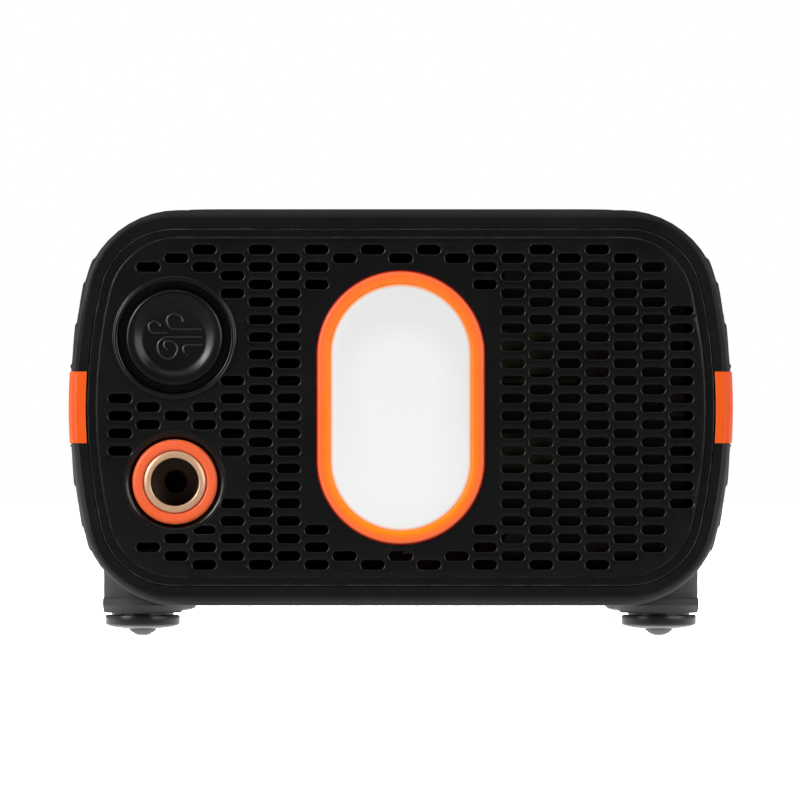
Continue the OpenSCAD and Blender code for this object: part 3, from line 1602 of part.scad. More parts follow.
upper_housing();
lower_housing();
side_strip_left();
side_strip_right();
front_bezel();
rear_bezel();
front_grille();
rear_panel();
button_well();
air_button();
button_spring();
air_switch();
socket_cup();
hose_socket();
release_sleeve();
sleeve_spring();
lamp_bezel();
lamp_lens();
lamp_reflector();
lamp_board();
lamp_leds();
lamp_heatsink();
top_deck();
display_window();
display_module();
key_board();
key_power();
key_light();
key_mode();
key_plus();
key_minus();
handle();
handle_grip();
handle_pins();
feet();
foot_screws();
jump_socket();
jump_contacts();
jump_cover();
port_block();
port_shells();
port_cover();
cover_pins();
control_board();
board_capacitors();
board_relays();
battery_cells();
cell_holders();
bus_bars();
power_board();
power_parts();
compressor_motor();
crankcase();
finned_cylinder();  // cylinder
cylinder_head();
compressor_bracket();
motor_shaft();
fan_rotor();
air_hose();
power_leads();
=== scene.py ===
import math

import bpy
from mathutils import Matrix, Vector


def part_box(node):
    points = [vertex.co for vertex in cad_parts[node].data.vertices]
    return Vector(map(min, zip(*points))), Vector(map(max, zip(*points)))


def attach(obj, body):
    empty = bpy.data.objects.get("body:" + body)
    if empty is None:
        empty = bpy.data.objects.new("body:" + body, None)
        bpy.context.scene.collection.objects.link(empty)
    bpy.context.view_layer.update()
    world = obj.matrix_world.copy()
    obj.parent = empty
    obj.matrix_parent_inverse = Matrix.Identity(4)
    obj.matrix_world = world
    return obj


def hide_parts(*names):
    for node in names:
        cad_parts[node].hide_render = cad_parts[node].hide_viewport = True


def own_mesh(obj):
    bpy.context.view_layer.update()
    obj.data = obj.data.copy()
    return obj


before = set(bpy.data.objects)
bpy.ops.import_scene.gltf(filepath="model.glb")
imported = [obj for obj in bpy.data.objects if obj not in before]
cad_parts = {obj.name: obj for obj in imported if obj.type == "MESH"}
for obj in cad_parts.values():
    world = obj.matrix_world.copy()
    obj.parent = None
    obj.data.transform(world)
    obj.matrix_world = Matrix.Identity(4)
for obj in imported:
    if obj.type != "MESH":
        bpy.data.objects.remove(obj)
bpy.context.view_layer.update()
mm = 0.001
near = 0.01 * mm  # places this close together are taken as the same
print("frame loaded")


# selecting and shaping

def deselectAll():
    active = bpy.context.view_layer.objects.active
    if active and active.mode != "OBJECT":
        bpy.ops.object.mode_set(mode="OBJECT")
    bpy.ops.object.select_all(action="DESELECT")


def pick(piece):
    deselectAll()
    piece.select_set(True)
    bpy.context.view_layer.objects.active = piece


def editMode(kind="FACE", everything=True):
    bpy.context.tool_settings.mesh_select_mode = (kind == "VERT", kind == "EDGE", kind == "FACE")
    bpy.ops.object.mode_set(mode="EDIT")
    if everything:
        bpy.ops.mesh.select_all(action="SELECT")


def objectMode():
    bpy.ops.object.mode_set(mode="OBJECT")


def clearPicks(piece):
    mesh = piece.data
    for group in (mesh.vertices, mesh.edges, mesh.polygons):
        group.foreach_set("select", [False] * len(group))


def pickFaces(piece, wanted):  # wanted(centre, normal) says which faces
    clearPicks(piece)
    for face in piece.data.polygons:
        face.select = wanted(face.center, face.normal)
    editMode("FACE", everything=False)


def pickPoints(piece, wanted):
    clearPicks(piece)
    for point in piece.data.vertices:
        point.select = wanted(point.co)
    editMode("VERT", everything=False)


def pickOpenEdges(piece):
    clearPicks(piece)
    editMode("EDGE", everything=False)
    bpy.ops.mesh.select_non_manifold(extend=False, use_wire=False, use_multi_face=False,
                                     use_non_contiguous=False, use_verts=False)


def slide(x=0, y=0, z=0):
    bpy.ops.transform.translate(value=(x, y, z))


def extrude(x=0, y=0, z=0):
    bpy.ops.mesh.extrude_region_move(TRANSFORM_OT_translate={"value": (x, y, z)})


def fatten(distance):
    bpy.ops.transform.shrink_fatten(value=distance)


def settle(piece):  # place, turn and scale go into the mesh
    pick(piece)
    bpy.ops.object.transform_apply(location=True, rotation=True, scale=True)


def tidyMesh(piece, gap=0.002 * mm):
    pick(piece)
    editMode()
    bpy.ops.mesh.remove_doubles(threshold=gap)
    bpy.ops.mesh.normals_make_consistent(inside=False)
    objectMode()


def smooth(piece, angle=32):
    pick(piece)
    bpy.ops.object.shade_smooth_by_angle(angle=math.radians(angle))


def addModifier(piece, kind, **settings):
    pick(piece)
    modifier = piece.modifiers.new(kind.title(), kind)
    for name, value in settings.items():
        setattr(modifier, name, value)
    bpy.ops.object.modifier_apply(modifier=modifier.name)


def roundEdges(piece, width, segments=2, angle=30, clamp=True):
    addModifier(piece, "BEVEL", width=width, segments=segments, limit_method="ANGLE",
                angle_limit=math.radians(angle), use_clamp_overlap=clamp)


def finishPiece(piece, name, body, material):
    piece.name = name
    piece.data.name = name
    piece.data.materials.clear()
    piece.data.materials.append(material)
    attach(piece, body)


def copyNode(nodeName, name):  # a merged copy of a CAD node's mesh
    piece = bpy.data.objects.new(name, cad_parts[nodeName].data.copy())
    bpy.context.collection.objects.link(piece)
    pick(piece)
    editMode()
    bpy.ops.mesh.remove_doubles(threshold=0.001 * mm)
    bpy.ops.mesh.dissolve_limited(angle_limit=math.radians(0.6))
    objectMode()
    return piece


def refine(nodeName, body, material, width=0.3 * mm, segments=2, angle=28, clamp=True):
    piece = copyNode(nodeName, nodeName + "Form")
    roundEdges(piece, width, segments, angle, clamp)
    smooth(piece, angle)
    addModifier(piece, "WEIGHTED_NORMAL", keep_sharp=True)
    finishPiece(piece, nodeName + "Form", body, material)
    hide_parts(nodeName)


def lathe(name, profile, centre, steps=96, upright=False):
    # profile holds (radius, place) pairs round a line along Y through centre, or along Z if upright
    def spot(radius, place):
        x = centre[0] + radius
        return (x, centre[1], place) if upright else (x, place, centre[1])

    deselectAll()
    bpy.ops.mesh.primitive_plane_add(size=mm, location=spot(*profile[0]))
    piece = bpy.context.object
    piece.name = name
    editMode("VERT")
    bpy.ops.mesh.merge(type="CENTER")
    for first, second in zip(profile, profile[1:]):
        step = [b - a for a, b in zip(spot(*first), spot(*second))]
        bpy.ops.mesh.extrude_vertices_move(TRANSFORM_OT_translate={"value": step})
    bpy.ops.mesh.select_all(action="SELECT")
    bpy.ops.mesh.spin(steps=steps, angle=2 * math.pi, center=spot(0, profile[0][1]),
                      axis=(0, 0, 1) if upright else (0, 1, 0))
    objectMode()
    settle(piece)
    tidyMesh(piece)
    return piece


def arc(centre, radius, start, end, steps):  # points on an arc, angles in degrees
    points = []
    for i in range(steps + 1):
        angle = math.radians(start + (end - start) * i / steps)
        points.append((centre[0] + radius * math.cos(angle), centre[1] + radius * math.sin(angle)))
    return points


def pillFace(name, width, height, y, middleZ, points=72):
    # an upright pill, filled, that faces the front
    deselectAll()
    bpy.ops.mesh.primitive_circle_add(vertices=points, radius=width / 2, fill_type="NGON",
                                      location=(0, y, middleZ), rotation=(math.pi / 2, 0, 0))
    piece = bpy.context.object
    piece.name = name
    editMode("VERT")
    step = 2 * math.pi / points
    bpy.ops.transform.rotate(value=step / 2, orient_axis="Y", center_override=(0, y, middleZ))
    objectMode()
    settle(piece)
    for side in (1, -1):
        pickPoints(piece, lambda co: (co.z - middleZ) * side > 0)
        slide(z=side * (height - width) / 2)
        objectMode()
    return piece


# finishes

def startFinish(name):
    material = bpy.data.materials.new(name)
    material.use_nodes = True
    tree = material.node_tree
    return material, tree, tree.nodes["Principled BSDF"]


def addNode(tree, kind, **sockets):
    node = tree.nodes.new(kind)
    for name, value in sockets.items():
        if hasattr(node, name):
            setattr(node, name, value)
        else:
            node.inputs[name.replace("_", " ")].default_value = value
    return node


def objectNoise(tree, scale, detail=3.0, roughness=0.55):
    where = addNode(tree, "ShaderNodeTexCoord")
    noise = addNode(tree, "ShaderNodeTexNoise", Scale=scale, Detail=detail, Roughness=roughness)
    tree.links.new(where.outputs["Object"], noise.inputs["Vector"])
    return noise


def splitPlace(tree, kind="Object"):  # the X, Y and Z of a shaded point
    where = addNode(tree, "ShaderNodeTexCoord")
    split = addNode(tree, "ShaderNodeSeparateXYZ")
    tree.links.new(where.outputs[kind], split.inputs["Vector"])
    return split.outputs


def mixColours(tree, factor, first, second):
    mix = addNode(tree, "ShaderNodeMix", data_type="RGBA")
    tree.links.new(factor, mix.inputs["Factor"])
    for socket, value in ((6, first), (7, second)):  # the node's two colours
        if isinstance(value, tuple):
            mix.inputs[socket].default_value = (*value, 1)
        else:
            tree.links.new(value, mix.inputs[socket])
    return mix.outputs[2]


def mapRange(tree, source, low, high, toLow, toHigh):
    node = addNode(tree, "ShaderNodeMapRange")
    tree.links.new(source, node.inputs["Value"])
    ends = {"From Min": low, "From Max": high, "To Min": toLow, "To Max": toHigh}
    for socket, value in ends.items():
        node.inputs[socket].default_value = value
    return node.outputs["Result"]


def multiply(tree, a, b):
    node = addNode(tree, "ShaderNodeMath", operation="MULTIPLY")
    tree.links.new(a, node.inputs[0])
    if isinstance(b, float):
        node.inputs[1].default_value = b
    else:
        tree.links.new(b, node.inputs[1])
    return node.outputs[0]


def pillDistance(tree, middleZ, straight):  # how far a point lies from a pill's upright centre line
    place = splitPlace(tree)
    past = place["Z"]
    steps = (("SUBTRACT", middleZ), ("ABSOLUTE", 0), ("SUBTRACT", straight), ("MAXIMUM", 0))
    for operation, value in steps:
        step = addNode(tree, "ShaderNodeMath", operation=operation)
        step.inputs[1].default_value = value
        tree.links.new(past, step.inputs[0])
        past = step.outputs[0]
    join = addNode(tree, "ShaderNodeCombineXYZ")
    tree.links.new(place["X"], join.inputs["X"])
    tree.links.new(past, join.inputs["Z"])
    length = addNode(tree, "ShaderNodeVectorMath", operation="LENGTH")
    tree.links.new(join.outputs[0], length.inputs[0])
    return length.outputs["Value"], place


def edgeMask(tree, radius, wearScale, edgeFrom):  # where the surface turns sharply, broken up by noise
    bevel = addNode(tree, "ShaderNodeBevel", samples=4, Radius=radius)
    geometry = addNode(tree, "ShaderNodeNewGeometry")
    dot = addNode(tree, "ShaderNodeVectorMath", operation="DOT_PRODUCT")
    tree.links.new(bevel.outputs["Normal"], dot.inputs[0])
    tree.links.new(geometry.outputs["Normal"], dot.inputs[1])
    edge = mapRange(tree, dot.outputs["Value"], edgeFrom, 0.75, 0.0, 1.0)
    patches = mapRange(tree, objectNoise(tree, wearScale).outputs["Fac"], 0.35, 0.7, 0.25, 1.0)
    return multiply(tree, edge, patches)


def weather(tree, shader, look):  # clouded colour, paler at the edges for wear and, on some finishes, painted highlight lines, and uneven roughness
    clouds = objectNoise(tree, look["cloudScale"])
    spread = mapRange(tree, clouds.outputs["Fac"], 0.3, 0.7, 0.0, 1.0)
    body = mixColours(tree, spread, look["colour"], look["colourShift"])
    # paler edges: wear, and painted highlight on the panel and the brass
    edge = edgeMask(tree, look["edgeRadius"], look["wearScale"], look["edgeFrom"])
    colour = mixColours(tree, multiply(tree, edge, look["wear"]), body, look["wornColour"])
    tree.links.new(colour, shader.inputs["Base Color"])
    rough = mapRange(tree, clouds.outputs["Fac"], 0.3, 0.7, *look["rough"])
    tree.links.new(rough, shader.inputs["Roughness"])


def addBump(tree, shader, noise, strength, distance):
    bump = addNode(tree, "ShaderNodeBump", Strength=strength, Distance=distance)
    tree.links.new(noise.outputs["Fac"], bump.inputs["Height"])
    tree.links.new(bump.outputs["Normal"], shader.inputs["Normal"])


def plastic(name, look):
    material, tree, shader = startFinish(name)
    shader.inputs["Specular IOR Level"].default_value = look["specular"]
    weather(tree, shader, look)
    grain = objectNoise(tree, look["grainScale"], detail=2.0)
    addBump(tree, shader, grain, look["grain"], 0.03 * mm)
    return material


blackPlastic = {"colour": (0.0052, 0.0054, 0.0058), "colourShift": (0.0072, 0.0074, 0.0078),
                "wornColour": (0.035, 0.036, 0.038), "wear": 0.5, "wearScale": 260.0,
                "edgeRadius": 0.3 * mm, "edgeFrom": 0.98, "specular": 0.3, "rough": (0.42, 0.5),
                "cloudScale": 60.0, "grainScale": 2600.0, "grain": 0.35}
colouredPlastic = {"colour": (1.0, 0.122, 0.008), "colourShift": (0.97, 0.112, 0.006),
                   "wornColour": (1.0, 0.22, 0.07), "wear": 0.45, "wearScale": 260.0,
                   "edgeRadius": 0.3 * mm, "edgeFrom": 0.98, "specular": 0.3, "rough": (0.36, 0.44),
                   "cloudScale": 50.0, "grainScale": 2400.0, "grain": 0.2}
bareMetal = {"colour": (0.52, 0.52, 0.53), "colourShift": (0.46, 0.46, 0.47),
             "wornColour": (0.7, 0.7, 0.7), "wear": 0.5, "wearScale": 300.0,
             "edgeRadius": 0.25 * mm, "edgeFrom": 0.98, "metallic": 1.0, "rough": (0.28, 0.38),
             "cloudScale": 120.0, "lines": (900, 60, 900), "grain": 0.3}


def black(name, **changes):
    return plastic(name, {**blackPlastic, **changes})


def coloured(name, **changes):
    return plastic(name, {**colouredPlastic, **changes})


def metal(name, **changes):  # its grain is drawn out into lines
    look = {**bareMetal, **changes}
    material, tree, shader = startFinish(name)
    shader.inputs["Metallic"].default_value = look["metallic"]
    weather(tree, shader, look)
    where = addNode(tree, "ShaderNodeTexCoord")
    stretch = addNode(tree, "ShaderNodeMapping")
    stretch.inputs["Scale"].default_value = look["lines"]
    noise = addNode(tree, "ShaderNodeTexNoise", Scale=1.0, Detail=2.0)
    tree.links.new(where.outputs["Object"], stretch.inputs["Vector"])
    tree.links.new(stretch.outputs["Vector"], noise.inputs["Vector"])
    addBump(tree, shader, noise, look["grain"], 0.02 * mm)
    return material


shellBlack = black("shellBlack", colour=(0.014, 0.0137, 0.0137), colourShift=(0.019, 0.0186, 0.0186),
                   wornColour=(0.06, 0.06, 0.06), rough=(0.46, 0.54), grain=0.5)
# lighter than the upper housing's black: painted light from below on the lower housing and its bosses
lowerBlackLit = black("lowerBlackLit", colour=(0.05, 0.0485, 0.0485), colourShift=(0.06, 0.0585, 0.0585),
                   wornColour=(0.09, 0.09, 0.09), rough=(0.55, 0.63), grain=0.5, specular=0.2)
bezelBlack = black("bezelBlack", rough=(0.26, 0.33), grain=0.25)
# its pale edge colour draws thin lit lines round every slot and edge: painted highlight
panelBlack = black("panelBlack", colour=(0.0042, 0.0046, 0.0044), colourShift=(0.006, 0.0064, 0.0062),
                   wornColour=(0.25, 0.255, 0.252), wear=1.0, edgeRadius=0.3 * mm, edgeFrom=0.995,
                   rough=(0.23, 0.3), grain=0.45)
wellBlack = black("wellBlack", colour=(0.0035, 0.0036, 0.004), colourShift=(0.0045, 0.0046, 0.005),
                  rough=(0.18, 0.24), grain=0.1, specular=0.5)
capBlack = black("capBlack", colour=(0.0022, 0.0023, 0.0025), colourShift=(0.0034, 0.0035, 0.0037),
                 rough=(0.27, 0.34), grain=0.4, specular=0.42)
symbolBlack = black("symbolBlack", colour=(0.006, 0.0062, 0.0064), colourShift=(0.008, 0.0082, 0.0084),
                    rough=(0.28, 0.34), grain=0.1, specular=0.9)
deckDark = black("deckDark", colour=(0.007, 0.0072, 0.0076), colourShift=(0.009, 0.0092, 0.0096),
                 rough=(0.5, 0.58), grain=0.6)
keyDark = black("keyDark", colour=(0.035, 0.036, 0.038), colourShift=(0.042, 0.043, 0.045),
                rough=(0.42, 0.5))
rubberBlack = black("rubberBlack", colour=(0.015, 0.015, 0.0155), colourShift=(0.02, 0.02, 0.0205),
                    rough=(0.62, 0.74), grain=0.7, grainScale=1500.0, specular=0.3)
footBlack = black("footBlack", colour=(0.008, 0.008, 0.0082), colourShift=(0.012, 0.012, 0.0122),
                  rough=(0.22, 0.3), grain=0.15, specular=0.5)
gripBlack = black("gripBlack", colour=(0.012, 0.012, 0.0125), colourShift=(0.016, 0.016, 0.0165),
                  rough=(0.66, 0.78), grain=0.8, grainScale=1800.0, specular=0.3)
holderBlack = black("holderBlack", colour=(0.008, 0.008, 0.008), colourShift=(0.012, 0.012, 0.012),
                    rough=(0.5, 0.6))
windowDark = black("windowDark", colour=(0.003, 0.003, 0.0035), colourShift=(0.004, 0.004, 0.0045),
                   rough=(0.05, 0.08), grain=0.02, specular=0.5)
moduleGrey = black("moduleGrey", colour=(0.06, 0.065, 0.06), colourShift=(0.07, 0.075, 0.07),
                   rough=(0.5, 0.6))

orangePlastic = coloured("orangePlastic")
orangeGloss = coloured("orangeGloss", colour=(1.0, 0.145, 0.04), colourShift=(1.0, 0.16, 0.055),
                       rough=(0.26, 0.32), grain=0.08)
wrapBrown = coloured("wrapBrown", colour=(0.12, 0.045, 0.016), colourShift=(0.09, 0.034, 0.012),
                     wornColour=(0.25, 0.16, 0.1))
partYellow = coloured("partYellow", colour=(0.075, 0.062, 0.012), colourShift=(0.05, 0.042, 0.01),
                      wornColour=(0.12, 0.1, 0.03))
partRed = coloured("partRed", colour=(0.04, 0.003, 0.004), colourShift=(0.025, 0.002, 0.003),
                   wornColour=(0.1, 0.02, 0.02))
leadRed = coloured("leadRed", colour=(0.42, 0.012, 0.015), colourShift=(0.36, 0.01, 0.012),
                   wornColour=(0.5, 0.08, 0.07), rough=(0.5, 0.6))
boardGreen = coloured("boardGreen", colour=(0.002, 0.008, 0.004), colourShift=(0.003, 0.013, 0.006),
                      wornColour=(0.06, 0.06, 0.03), rough=(0.35, 0.45), cloudScale=220.0)
diodeYellow = coloured("diodeYellow", colour=(0.85, 0.7, 0.18), colourShift=(0.8, 0.62, 0.14),
                       wornColour=(0.9, 0.8, 0.4))
lampWhite = coloured("lampWhite", colour=(0.8, 0.8, 0.79), colourShift=(0.76, 0.76, 0.75),
                     wornColour=(0.9, 0.9, 0.9))

# its cream edge colour is a painted highlight line along the rounded edges
brassTurned = metal("brassTurned", colour=(0.84, 0.53, 0.33), colourShift=(0.76, 0.46, 0.27), wear=0.9,
                    wornColour=(1.0, 0.88, 0.74), rough=(0.3, 0.38), metallic=0.35,
                    lines=(40, 1600, 40))
wireSteel = metal("wireSteel", rough=(0.25, 0.35))
pinSteel = metal("pinSteel", rough=(0.2, 0.3), lines=(60, 900, 900))
nickelStrip = metal("nickelStrip", colour=(0.6, 0.59, 0.56), colourShift=(0.54, 0.53, 0.5))
# these inner metal parts are made dark so that the case's inside reads dark through the slots: painted
# shade
castAlloy = metal("castAlloy", colour=(0.1, 0.1, 0.105), colourShift=(0.07, 0.07, 0.075),
                  wornColour=(0.3, 0.3, 0.3), rough=(0.45, 0.6), lines=(700, 700, 700), grain=0.7)
motorCan = metal("motorCan", colour=(0.02, 0.02, 0.022), colourShift=(0.028, 0.028, 0.03),
                 wornColour=(0.12, 0.12, 0.12), rough=(0.45, 0.55))
paintedSteel = metal("paintedSteel", colour=(0.02, 0.02, 0.02), colourShift=(0.03, 0.03, 0.03),
                     wornColour=(0.15, 0.15, 0.15), rough=(0.5, 0.6), metallic=0.3)
screwBlack = metal("screwBlack", colour=(0.085, 0.075, 0.075), colourShift=(0.11, 0.1, 0.1),
                   wornColour=(0.2, 0.2, 0.2), rough=(0.42, 0.52), metallic=0.3)
print("finishes ready")


# CAD nodes that keep their own mesh

nodeFinish = {
    "air_switch": boardGreen,
    "lamp_reflector": lampWhite, "lamp_board": lampWhite, "lamp_leds": diodeYellow,
    "lamp_heatsink": castAlloy, "display_module": moduleGrey, "key_board": boardGreen,
    "handle_pins": pinSteel, "cover_pins": pinSteel, "jump_contacts": brassTurned,
    "port_shells": nickelStrip, "control_board": boardGreen, "board_capacitors": partYellow,
    "board_relays": partRed, "battery_cells": wrapBrown, "cell_holders": holderBlack,
    "bus_bars": nickelStrip, "power_board": boardGreen, "power_parts": partYellow,
    "compressor_motor": motorCan, "crankcase": castAlloy, "cylinder": castAlloy,
    "cylinder_head": castAlloy, "compressor_bracket": paintedSteel, "motor_shaft": pinSteel,
    "fan_rotor": holderBlack, "air_hose": rubberBlack, "power_leads": leadRed,
    "display_window": windowDark,
}
for nodeName, material in nodeFinish.items():
    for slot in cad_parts[nodeName].material_slots:
        slot.material = material

# springs

springs = {
    "button_spring": {"name": "buttonSpringWire", "body": "air_button", "joint": "air_button_press",
                      "travel": 2 * mm},
    "sleeve_spring": {"name": "sleeveSpringWire", "body": "release_sleeve",
                      "joint": "release_sleeve_slide", "travel": 3 * mm},
}
for nodeName, part in springs.items():
    wire = copyNode(nodeName, part["name"])
    smooth(wire, 50)
    finishPiece(wire, part["name"], part["body"], wireSteel)
    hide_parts(nodeName)
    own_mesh(wire)
print("springs ready")

# shells, bezels and panels

refine("upper_housing", "case", shellBlack, width=0.25 * mm)
refine("lower_housing", "case", lowerBlackLit, width=0.25 * mm)
refine("side_strip_left", "case", orangePlastic, width=0.2 * mm)
refine("side_strip_right", "case", orangePlastic, width=0.2 * mm)
refine("front_bezel", "case", bezelBlack, width=0.32 * mm, segments=3)
refine("rear_bezel", "case", bezelBlack, width=0.32 * mm, segments=3)
refine("rear_panel", "case", panelBlack, width=0.2 * mm, clamp=False)
print("shells ready")

grilleSizes = {"rimRound": 0.4 * mm, "roundSteps": 3, "longestSlot": 6.38 * mm, "edgeRound": 0.3 * mm}


def makeGrille():
    # each slot's edge is rounded by rings that grow out of its wall, then the face is filled again
    s = grilleSizes
    grille = copyNode("front_grille", "grillePanel")
    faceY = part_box("front_grille")[0][1]
    pickFaces(grille, lambda centre, normal: normal.y < -0.9 and abs(centre.y - faceY) < near)
    bpy.ops.mesh.delete(type="FACE")
    objectMode()
    pickOpenEdges(grille)
    objectMode()
    slotPoints = set()
    for loop in openLoops(grille):
        across = [grille.data.vertices[index].co.x for index in loop]
        if max(across) - min(across) < s["longestSlot"]:
            slotPoints.update(loop)
    clearPicks(grille)
    for index in slotPoints:
        grille.data.vertices[index].select = True
    editMode("VERT", everything=False)
    slide(y=s["rimRound"])
    for step in range(s["roundSteps"]):
        a0, a1 = (math.radians(90 * (step + k) / s["roundSteps"]) for k in (0, 1))
        extrude(y=-s["rimRound"] * (math.sin(a1) - math.sin(a0)))
        objectMode()  # fresh normals, which now lie in the face's plane
        editMode("VERT", everything=False)
        fatten(-s["rimRound"] * (math.cos(a0) - math.cos(a1)))
    objectMode()
    pickOpenEdges(grille)
    bpy.ops.mesh.fill(use_beauty=True)
    bpy.ops.mesh.select_all(action="SELECT")
    bpy.ops.mesh.normals_make_consistent(inside=False)
    objectMode()
    roundEdges(grille, s["edgeRound"], segments=3, angle=60)
    smooth(grille, 35)
    addModifier(grille, "WEIGHTED_NORMAL", keep_sharp=True)
    finishPiece(grille, "grillePanel", "case", panelBlack)
    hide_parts("front_grille")


def openLoops(piece):  # chains of selected edges, as sets of point numbers
    neighbours = {}
    for edge in piece.data.edges:
        if edge.select:
            a, b = edge.vertices
            neighbours.setdefault(a, []).append(b)
            neighbours.setdefault(b, []).append(a)
    loops = []
    left = set(neighbours)
    while left:
        loop = [left.pop()]
        for point in loop:
            for other in neighbours[point]:
                if other in left:
                    left.discard(other)
                    loop.append(other)
        loops.append(loop)
    return loops


makeGrille()
print("grille ready")

# air button

buttonLow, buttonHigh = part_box("air_button")
buttonAt = ((buttonLow[0] + buttonHigh[0]) / 2, (buttonLow[2] + buttonHigh[2]) / 2)
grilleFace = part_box("front_grille")[0][1]
buttonSizes = {
    "capRadius": 12.2 * mm, "capThick": 3.1 * mm, "wall": 1.4 * mm, "rimRound": 0.9 * mm,
    "bandInner": 10.4 * mm, "bandEdge": 0.3 * mm, "bandDip": 0.02 * mm, "coveDrop": 0.1 * mm,
    "coveSteps": 8, "floorRadius": 7.6 * mm, "floorDepth": 1.0 * mm, "dishRadius": 4 * mm,
    "dishDrop": 0.15 * mm, "centreDrop": 0.17 * mm, "skirt": 6.0 * mm, "skirtEdge": 0.2 * mm,
    "stemRadius": 5.0 * mm, "stemEdge": 0.4 * mm,
}


def makeAirButton():
    s = buttonSizes
    front, back = buttonLow[1], buttonHigh[1]
    radius, stem = s["capRadius"], s["stemRadius"]
    inside = radius - s["wall"]
    capBack = front + s["capThick"]
    skirtEnd = front + s["skirt"]
    cove = []
    for i in range(1, s["coveSteps"] + 1):  # an easy curve from the band down to the floor
        t = i / s["coveSteps"]
        reach = s["bandInner"] + (s["floorRadius"] - s["bandInner"]) * t
        depth = s["floorDepth"] * (0.5 - 0.5 * math.cos(math.pi * t))
        cove.append((reach, front + s["coveDrop"] + depth))
    profile = [(0, back), (stem - s["stemEdge"], back), (stem, back - s["stemEdge"]), (stem, capBack),
               (inside, capBack), (inside, skirtEnd), (radius - s["skirtEdge"], skirtEnd),
               (radius, skirtEnd - s["skirtEdge"])]
    profile += arc((radius - s["rimRound"], front + s["rimRound"]), s["rimRound"], 0, -90, 6)
    profile += [(s["bandInner"] + s["bandEdge"], front + s["bandDip"])] + cove
    profile += [(s["dishRadius"], front + s["dishDrop"] + s["floorDepth"]),
                (0, front + s["centreDrop"] + s["floorDepth"])]
    cap = lathe("airButtonCap", profile, buttonAt, steps=128)
    smooth(cap, 40)
    finishPiece(cap, "airButtonCap", "air_button", capBlack)
    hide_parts("air_button")


symbolSizes = {"wire": 0.32 * mm, "drop": 0.02 * mm}


def makeAirSymbol():
    # streams of air that curl at their ends, in mm from the button's middle
    floorY = buttonLow[1] + buttonSizes["floorDepth"] + symbolSizes["drop"]
    strokes = [
        [(6.9, 2.05)] + arc((0.1, 4), 1.95, 270, 0, 24),
        [(-1.8, 1.15)] + arc((-5, 2.6), 1.45, 270, 8, 20),
        [(7.1, 0.1)] + arc((-1.5, -2.6), 2.7, 90, 270, 20)
        + arc((-1.5, -3.05), 2.25, 270, 450, 18)[1:] + arc((-1.5, -1.9), 1.1, 90, 270, 12)[1:],
        [(7.2, -1.9)] + arc((3.3, -3), 1.1, 90, 225, 10),
        [(3.1, -4.35), (3.1, -4.45)],
    ]
    curve = bpy.data.curves.new("airSymbol", "CURVE")
    curve.dimensions = "3D"
    curve.bevel_depth = symbolSizes["wire"]
    curve.bevel_resolution = 3
    curve.use_fill_caps = True
    for stroke in strokes:
        spline = curve.splines.new("POLY")
        spline.points.add(len(stroke) - 1)
        for point, (x, z) in zip(spline.points, stroke):
            point.co = (buttonAt[0] + x * mm, floorY, buttonAt[1] + z * mm, 1)
    symbol = bpy.data.objects.new("airSymbol", curve)
    bpy.context.collection.objects.link(symbol)
    pick(symbol)
    bpy.ops.object.convert(target="MESH")
    symbol = bpy.context.object
    smooth(symbol, 60)
    finishPiece(symbol, "airSymbol", "air_button", symbolBlack)


wellSizes = {"wall": 1.4 * mm, "tubeStep": 0.4 * mm, "floorDepth": 9.6 * mm, "floorThick": 2 * mm,
             "mouthEdge": 0.5 * mm, "mouthRound": 0.35 * mm, "ridgeStart": 0.75 * mm,
             "ridgeEnd": 0.6 * mm, "ridgeDip": 0.08 * mm, "rimRound": 0.45 * mm, "flange": 0.6 * mm,
             "guideGap": 0.05 * mm, "guideWall": 1.6 * mm, "guideLength": 5 * mm}


def makeButtonWell():
    s = wellSizes
    low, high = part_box("button_well")
    outer = (high[0] - low[0]) / 2
    front, back = low[1], high[1]
    bore = outer - s["wall"]
    tube = outer - s["tubeStep"]
    floorY = front + s["floorDepth"]
    floorBack = floorY + s["floorThick"]
    guide = buttonSizes["stemRadius"] + s["guideGap"]
    guideOuter = guide + s["guideWall"]
    guideEnd = floorY + s["guideLength"]
    profile = [(bore, floorY), (bore, front + s["mouthEdge"])]
    profile += arc((bore + s["mouthRound"], front + s["mouthRound"]), s["mouthRound"], 180, 270, 4)
    profile += [(outer - s["ridgeStart"], front), (outer - s["ridgeEnd"], front + s["ridgeDip"])]
    profile += arc((outer - s["rimRound"], front + s["rimRound"]), s["rimRound"], 270, 360, 4)
    profile += [(outer, front + s["flange"]), (tube, front + s["flange"]), (tube, back), (bore, back),
                (bore, floorBack), (guideOuter, floorBack), (guideOuter, guideEnd), (guide, guideEnd),
                (guide, floorY), (bore, floorY)]
    well = lathe("buttonWellRing", profile, buttonAt, steps=128)
    smooth(well, 40)
    finishPiece(well, "buttonWellRing", "case", wellBlack)
    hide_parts("button_well")


makeAirButton()
makeAirSymbol()
makeButtonWell()
print("air button ready")

# hose socket

socketLow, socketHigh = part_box("hose_socket")
socketAt = ((socketLow[0] + socketHigh[0]) / 2, (socketLow[2] + socketHigh[2]) / 2)
socketSizes = {
    "bore": 6.0 * mm, "boreDepth": 12.0 * mm, "boreEdge": 1.2 * mm, "boreEdgeLength": 0.6 * mm,
    "mouth": 0.4 * mm, "lip": 0.45 * mm, "brassRadius": 7.8 * mm, "airWay": 2.85 * mm,
    "noseFlat": 0.9 * mm, "noseEdge": 0.25 * mm, "noseDrop": 0.35 * mm, "noseLength": 0.8 * mm,
    "flange": 10.8 * mm, "flangeAt": 15.5 * mm, "flangeThick": 2.5 * mm, "barbWall": 1.6 * mm,
    "barbLength": 4 * mm, "barbStep": 0.6 * mm, "barbTaper": 0.4 * mm,
    "groove": ((0, 5.2 * mm), (0.25 * mm, 4.9 * mm), (0.25 * mm, 4.1 * mm), (0, 3.8 * mm)),
    "darkFrom": 0.5 * mm, "darkTo": 1.4 * mm, "darkColour": (0.085, 0.045, 0.024),
}


